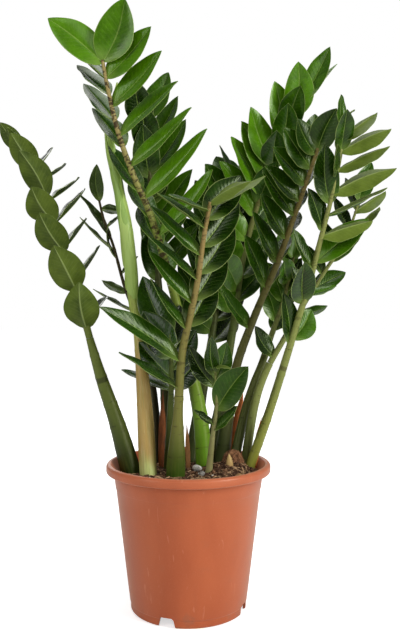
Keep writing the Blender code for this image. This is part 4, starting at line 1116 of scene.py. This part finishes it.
def lump_mesh(centre, size, rng, rough=0.22, around=8, up=5):
    """An uneven grain; size is its half extent along each of three turned axes."""
    spin = rng.uniform(0, math.pi)
    tip = rng.uniform(-0.5, 0.5)
    corners = [(0.0, 0.0, -1.0)]
    for i in range(1, up):
        tilt = math.pi * i / up
        for k in range(around):
            t = 2 * math.pi * (k + 0.5 * (i % 2)) / around
            swell = 1 + rng.uniform(-rough, rough)
            corners.append((math.sin(tilt) * math.cos(t) * swell, math.sin(tilt) * math.sin(t) * swell,
                            -math.cos(tilt) * swell))
    corners.append((0.0, 0.0, 1.0))
    points = np.array(corners) * np.array(size)
    c, s = math.cos(tip), math.sin(tip)
    points = points @ np.array([[c, 0, s], [0, 1, 0], [-s, 0, c]])
    c, s = math.cos(spin), math.sin(spin)
    points = points @ np.array([[c, s, 0], [-s, c, 0], [0, 0, 1]]) + np.array(centre)
    last = len(corners) - 1
    faces = [tuple(reversed(face)) for face in fan_faces(1, around, 0)] + ring_faces(up - 1, around, 1)
    return points, faces + fan_faces(last - around, around, last)


def add_lump(shape, centre, size, rng, slot=0, **how):
    points, faces = lump_mesh(centre, size, rng, **how)
    shape.add(points, faces, slot, rng.random())


def clear_places():
    """Where no crumb may lie: centre and radius, for the stalks, the crown, the bud and the scraps."""
    stalks = [(plant["path"][0], plant["girth"][0] + 1.5) for plant in [*FRONDS.values(), NEW_SHOOT]]
    scraps = [(centre, clear) for centre, _, clear, _ in SCRAPS.values()]
    grown = [(CROWN_CENTRE, 8), (BUD_PATH[0], 4.2)]
    return [(x, y, r) for (x, y, _), r in stalks + grown + scraps]


def free_of(x, y, keep_out):
    """Whether a place is outside all clear circles."""
    return all(math.hypot(x - a, y - b) > r for a, b, r in keep_out)


def anywhere(rng, reach):
    """A random place on the mix and its distance from the middle."""
    radius, t = reach * math.sqrt(rng.random()), rng.uniform(0, 2 * math.pi)
    return radius * math.cos(t), radius * math.sin(t), radius


def edge_drop(inward):
    """How much lower the mix lies near the wall."""
    return 2.2 * math.exp(-(inward / 6.0))


def mix_look():
    """Dark, damp peat crumbs."""
    look = Look("peat_crumbs", 0.92, Specular_IOR_Level=0.2)
    spot = look.place()
    crumbs = look.noise(spot, 520.0, 5.0, 0.7)
    colour = look.mix(look.step(crumbs, 0.35, 0.7), srgb(44, 30, 22), srgb(112, 80, 58))
    colour = look.tint(colour, look.step(look.tone(), 0.45, 1.0), 0.8, srgb(150, 110, 80))
    rough = look.plus(look.times(crumbs, 0.2), 0.78)
    return look.finish(colour, rough, crumbs, 0.9, 0.0012)


def dry_look(name, dark, light, scale=260.0, rough=0.85):
    look = Look(name, rough, Specular_IOR_Level=0.25)
    fibre = look.noise(look.place((1.0, 1.0, 0.25)), scale, 4.0, 0.65)
    colour = look.mix(look.step(fibre, 0.3, 0.7), dark, light)
    colour = look.tint(colour, look.tone(), 0.35, light)
    roughness = look.plus(look.times(fibre, 0.2), rough - 0.12)
    return look.finish(colour, roughness, fibre, 0.7, 0.0008)


def make_bed(rng, edge, keep_out):
    """The crumbly top of the mix and its smooth sides and underside, in one closed skin."""
    shape = Shape()
    rings, sides = BED_RINGS, BED_SIDES
    corners = []
    for i in range(rings + 1):
        radius = max(edge * i / rings, 0.02)
        for k in range(sides):
            t = 2 * math.pi * k / sides
            x, y = radius * math.cos(t), radius * math.sin(t)
            crumb = 0.9 * math.sin(x * 1.9 + 2.1 * math.sin(y * 0.9))
            crumb = crumb * math.cos(y * 1.7 + 1.3 * math.sin(x * 1.1)) + rng.uniform(-0.5, 0.5)
            drop = edge_drop(edge - radius)
            corners.append((x, y, bed_height(x, y) + crumb * (0.75 if i < rings else 0.0) - drop))
    ceiling = CHANNEL_HEIGHT + FLOOR
    for radius, height in ((wall_radius(30.0) - WALL - CLEARANCE, 30.0),
                           (wall_radius(ceiling) - WALL - 1.6, ceiling + 2.0),
                           (wall_radius(ceiling) - WALL - 3.2, ceiling + CLEARANCE),
                           (CHANNEL_INNER - 1.6, ceiling + CLEARANCE),
                           (CHANNEL_INNER - 3.8, FLOOR + CLEARANCE)):
        corners += circle(radius, height, sides)
    faces = [(a, d, c, b) for a, b, c, d in ring_faces(rings + 6, sides)]
    faces.append(tuple(reversed(range(len(corners) - sides, len(corners)))))
    faces.append(tuple(range(sides)))
    shape.add(corners, faces, 0, 0.3)
    for _ in range(CRUMBS):
        x, y, radius = anywhere(rng, edge - 2.5)
        size = rng.uniform(0.6, 1.5) if rng.random() < 0.8 else rng.uniform(1.5, 2.8)
        shaped = (size * rng.uniform(0.9, 1.6), size * rng.uniform(0.7, 1.1), size * rng.uniform(0.5, 0.9))
        if free_of(x, y, keep_out):
            drop = edge_drop(edge - radius)
            add_lump(shape, (x, y, bed_height(x, y) + size * 0.35 - drop), shaped, rng, around=5, up=3)
    shape.build("potting_mix_bed", [mix_look()], ["potting_mix"], "peat_mix", sharp=40)


def make_fibres(rng, edge, keep_out):
    """Loose, pale fibres that lie on the mix."""
    fibres = Shape()
    for _ in range(FIBRES):
        x, y, _ = anywhere(rng, edge - 5)
        turn, length = rng.uniform(0, 2 * math.pi), rng.uniform(3, 14)
        bend, rise = rng.uniform(-0.9, 0.9), rng.uniform(-0.05, 0.3)
        line = []
        for k in range(7):
            s = k / 6 - 0.5
            px = x + length * s * math.cos(turn + bend * s)
            py = y + length * s * math.sin(turn + bend * s)
            line.append((px, py, bed_height(px, py) + 0.9 + rise * length * (0.25 - s * s)))
        if all(math.hypot(p[0], p[1]) < edge - 2.5 and free_of(p[0], p[1], keep_out) for p in line):
            thick = rng.uniform(0.22, 0.5)
            add_tube(fibres, line, [thick * (1 - 0.6 * abs(k / 6 - 0.5)) for k in range(7)], 6,
                     tones=rng.random())
    look = dry_look("straw_fibre", srgb(104, 72, 48), srgb(206, 170, 128))
    fibres.build("mix_fibres", [look], (), "dry_tan")


def make_perlite_bits(rng, edge, keep_out):
    """Small white grains on the mix."""
    bits = Shape()
    for _ in range(PERLITE_BITS):
        x, y, _ = anywhere(rng, edge - 4)
        size = rng.uniform(0.7, 1.7)
        if free_of(x, y, keep_out):
            shaped = (size, size * 0.8, size * 0.7)
            add_lump(bits, (x, y, bed_height(x, y) + size * 0.5), shaped, rng, rough=0.15)
    look = dry_look("perlite_bits", srgb(206, 200, 186), srgb(240, 238, 230))
    bits.build("mix_perlite_bits", [look], (), "perlite")


def make_mix():
    """The mix and what is scattered on it."""
    rng = random.Random(31)
    edge = wall_radius(SOIL_TOP) - WALL - CLEARANCE
    keep_out = clear_places()
    make_bed(rng, edge, keep_out)
    make_fibres(rng, edge, keep_out)
    make_perlite_bits(rng, edge, keep_out)


def make_scraps():
    """Bark chips, the pebble and the perlite lump."""
    rng = random.Random(12)
    brown = dry_look("bark_brown", srgb(58, 34, 20), srgb(124, 82, 52))
    tan = dry_look("bark_tan", srgb(116, 80, 50), srgb(184, 146, 100))
    grey = dry_look("pebble_grey", srgb(96, 92, 86), srgb(158, 154, 146), 400.0, 0.7)
    white = dry_look("perlite_white", srgb(196, 190, 178), srgb(240, 236, 226), 380.0)
    looks = {"dry_brown": brown, "dry_tan": tan, "pebble": grey, "perlite": white}
    for name, (centre, size, _, slot) in SCRAPS.items():
        shape = Shape()
        rough = 0.06 if name == "grey_pebble" else 0.16
        add_lump(shape, centre, size, rng, rough=rough, around=18, up=11)
        shape.build(f"{name}_body", [looks[slot]], [name], slot, sharp=70)


def add_strip(shape, foot, top, width, rng):
    """A dry, cupped scale that ends in a torn point."""
    rows, cols = 22, 9
    cup, thick, fray = 0.5, 0.5, 0.06
    foot, top = np.array(foot, float), np.array(top, float)
    rise = (top - foot) / np.linalg.norm(top - foot)
    side = np.cross(rise, (0.0, 1.0, 0.0))
    side /= np.linalg.norm(side)
    out = np.cross(side, rise)
    corners = np.zeros((2, rows + 1, cols, 3))
    tears = [rng.uniform(0, fray) for _ in range(cols)]
    for i in range(rows + 1):
        share = i / rows
        half = width * (0.55 + 0.45 * math.sin(math.pi * min(share * 1.2, 1.0))) / 2
        half *= 1.0 if share < 0.7 else max(0.06, 1 - ((share - 0.7) / 0.3) ** 1.6)
        for j in range(cols):
            t = -1 + 2 * j / (cols - 1)
            ripple = 0.35 * math.sin(share * 17 + j)
            centre = foot + (top - foot) * share * (1 - tears[j] * share)
            base = centre + side * half * t - out * (cup * half * (1 - t * t)) + out * ripple
            corners[0, i, j] = base
            corners[1, i, j] = base - out * thick
    add_sheet(shape, corners[0], corners[1], rng.random())


def make_scales():
    """The dry bud scales that stand between the stalks."""
    rng = random.Random(5)
    paper = dry_look("scale_paper", srgb(128, 62, 26), srgb(206, 122, 62), 180.0, 0.7)
    dark = dry_look("scale_dark", srgb(66, 38, 22), srgb(150, 86, 44), 180.0, 0.7)
    light = dry_look("scale_tan", srgb(112, 72, 40), srgb(164, 116, 70), 180.0, 0.7)
    for name, foot, top, width, look, slot in (
            ("papery_scale_tall", (47, 50, 130), (61, 66, 220), 13.0, paper, "dry_brown"),
            ("papery_scale_left", (-30, 28, 130), (-28, 31, 221), 8.0, dark, "dry_brown"),
            ("papery_scale_right", (68, 19, 130), (78, 23, 192), 7.5, paper, "dry_brown"),
            ("papery_scale_small", (0, 9, 130), (-2, 8, 191), 5.0, light, "dry_tan")):
        shape = Shape()
        add_strip(shape, foot, top, width, rng)
        shape.build(f"{name}_sheet", [look], [name], slot)


def bed_height(x, y):
    """The top of the mix with the heap that covers the foot of the crown."""
    away = ((x - HEAP_CENTRE[0]) ** 2 + (y - HEAP_CENTRE[1]) ** 2) / (2 * HEAP_SPREAD ** 2)
    return mix_height(x, y) + HEAP_HEIGHT * math.exp(-away)


def crown_point(turn, high, out=1.0):
    """A point on the crown; high runs from 0 at the mix to 1 at the top."""
    x, y, z = CROWN_CENTRE
    lean = high * math.pi / 2
    return np.array((x + out * CROWN_SIZE[0] * math.cos(lean) * math.cos(turn),
                     y + out * CROWN_SIZE[1] * math.cos(lean) * math.sin(turn),
                     z + out * CROWN_SIZE[2] * math.sin(lean)))


def make_crown():
    """The top of the rhizome: an uneven mound covered in crumbs, bark flakes and fine dead roots."""
    rng = random.Random(9)
    shape = Shape()
    add_lump(shape, CROWN_CENTRE, [0.94 * s for s in CROWN_SIZE], rng, rough=0.07, around=32, up=18)
    for _ in range(CROWN_CRUMBS):
        at = crown_point(rng.uniform(0, 2 * math.pi), rng.uniform(-0.25, 0.95), rng.uniform(0.92, 1.0))
        size = rng.uniform(0.5, 1.5)
        add_lump(shape, at, (size * 1.5, size, size * 0.6), rng, around=6, up=4)
    for _ in range(DEAD_ROOTS):
        turn, high = rng.uniform(0, 2 * math.pi), rng.uniform(-0.2, 0.85)
        way, span = rng.uniform(-0.9, 0.9), rng.uniform(-0.2, 0.6)
        loose = rng.uniform(0.0, 0.2)
        shares = [k / 5 for k in range(6)]
        line = [crown_point(turn + way * s, high + span * (s - 0.3), 1.0 + loose * s) for s in shares]
        thick = rng.uniform(0.18, 0.4)
        add_tube(shape, line, [thick * (1 - 0.12 * k) for k in range(6)], 5, slot=1, tones=rng.random())
    looks = [dry_look("rhizome_skin", srgb(44, 28, 20), srgb(116, 78, 54), 420.0),
             dry_look("dead_roots", srgb(92, 58, 38), srgb(186, 136, 96), 300.0)]
    shape.build("rhizome_crown_body", looks, ["rhizome_crown"], "rhizome_skin", sharp=60)


def make_bud():
    """The pale, pointed bud in front of the crown."""
    bud = Shape()
    line = spline(BUD_PATH, 6)
    radii = np.maximum(smooth_along((3.4, 3.4, 3.7, 2.8, 0.4), np.linspace(0, 1, len(line))), 0.3)
    add_tube(bud, line, radii, 18)
    look = stalk_look("bud_skin", srgb(140, 96, 62), srgb(186, 156, 100), srgb(98, 62, 38), 0.75)
    bud.build("pale_bud_skin", [look], ["pale_bud"], "bud_scale")


# ---------------------------------------------------------------- studio
ROOM_LIGHT = 0.18
# floor glow near the pot, lower than PAPER_GLOW_AWAY further out: painted shade round the pot
PAPER_GLOW = 0.62
PAPER_GLOW_AWAY = 0.85
FLOOR_REACH = 14.0                  # metres
CAMERA_LENS = 40.64                 # millimetres, on a sensor 36 wide
CAMERA_PLACE = (0.012, -0.74, 0.302)
PLANT_MIDDLE = (0.0, 0.0, 0.3)
# Soft lights: place, width and height, power.
LIGHTS = {
    "key_right": ((1.2, -0.8, 0.85), (0.45, 1.1), 19.5),
    "fill_left": ((-1.2, -0.9, 0.7), (0.5, 1.0), 6.5),
    "front": ((0.1, -1.9, 1.3), (1.4, 0.8), 8.0),
    "top": ((0.0, 0.3, 1.6), (1.0, 1.0), 8.0),
    "back": ((-0.5, 1.7, 0.9), (1.2, 1.0), 6.0),
}


def make_floor():
    """White paper that glows only to the camera, its glow dimmed near the pot as painted shade, and that the
    plant darkens further with its shadow.
    """
    mesh = bpy.data.meshes.new("studio_floor")
    mesh.from_pydata(circle(FLOOR_REACH, 0.0, 64), [], [tuple(range(64))])
    look = Look("studio_paper", 0.9, Specular_IOR_Level=0.1)
    look.shader.inputs["Emission Color"].default_value = (1.0, 1.0, 1.0, 1.0)
    seen = look.node("ShaderNodeLightPath").outputs["Is Camera Ray"]
    x, y, _ = look.parts(look.place())
    away = look.number("SQRT", look.plus(look.times(x, x), look.times(y, y)))
    # painted shade: the glow is dimmed near the pot
    glow = look.plus(look.times(look.step(away, 0.15, 1.2), PAPER_GLOW_AWAY - PAPER_GLOW),
                       PAPER_GLOW)
    look.link(look.times(seen, glow), look.shader.inputs["Emission Strength"])
    grain = look.noise(look.place(), 3.0)
    mesh.materials.append(look.finish(look.mix(grain, (0.84, 0.84, 0.84), (0.86, 0.86, 0.86))))
    floor = bpy.data.objects.new("studio_floor", mesh)
    floor.location.z = -0.0003
    bpy.context.scene.collection.objects.link(floor)


def soft_light(name, place, size, power):
    data = bpy.data.lights.new(name, "AREA")
    data.shape = "RECTANGLE"
    data.size, data.size_y = size
    data.energy = power
    made = bpy.data.objects.new(name, data)
    made.location = place
    toward = np.array(PLANT_MIDDLE) - np.array(place)
    flat = math.hypot(toward[0], toward[1])
    made.rotation_euler = (math.atan2(flat, -toward[2]), 0.0, math.atan2(toward[1], toward[0]) - math.pi / 2)
    bpy.context.scene.collection.objects.link(made)


def make_studio():
    """Floor, soft lights and a white room that lights the plant only a little."""
    make_floor()
    for name, (place, size, power) in LIGHTS.items():
        soft_light(name, place, size, power)
    world = bpy.data.worlds.new("studio")
    world.use_nodes = True
    tree = world.node_tree
    background = tree.nodes["Background"]
    background.inputs["Color"].default_value = (1.0, 1.0, 1.0, 1.0)
    seen = tree.nodes.new("ShaderNodeLightPath").outputs["Is Camera Ray"]
    strength = tree.nodes.new("ShaderNodeMapRange")
    strength.inputs["To Min"].default_value = ROOM_LIGHT
    strength.inputs["To Max"].default_value = 1.0
    tree.links.new(seen, strength.inputs["Value"])
    tree.links.new(strength.outputs[0], background.inputs["Strength"])
    bpy.context.scene.world = world
    bpy.context.scene.view_settings.view_transform = "Standard"


def make_camera():
    """Level camera a little above the middle of the plant."""
    data = bpy.data.cameras.new("camera")
    data.sensor_width = 36.0
    data.lens = CAMERA_LENS
    made = bpy.data.objects.new("camera", data)
    made.location = CAMERA_PLACE
    made.rotation_euler = (math.radians(90), 0.0, 0.0)
    bpy.context.scene.collection.objects.link(made)
    bpy.context.scene.camera = made


def main():
    settled = settled_leaflets()
    for number, (name, frond) in enumerate(FRONDS.items()):
        make_frond(number, name, frond, settled[name])
    make_shoot()
    make_pot()
    make_mix()
    make_scraps()
    make_scales()
    make_crown()
    make_bud()
    make_studio()
    make_camera()


main()
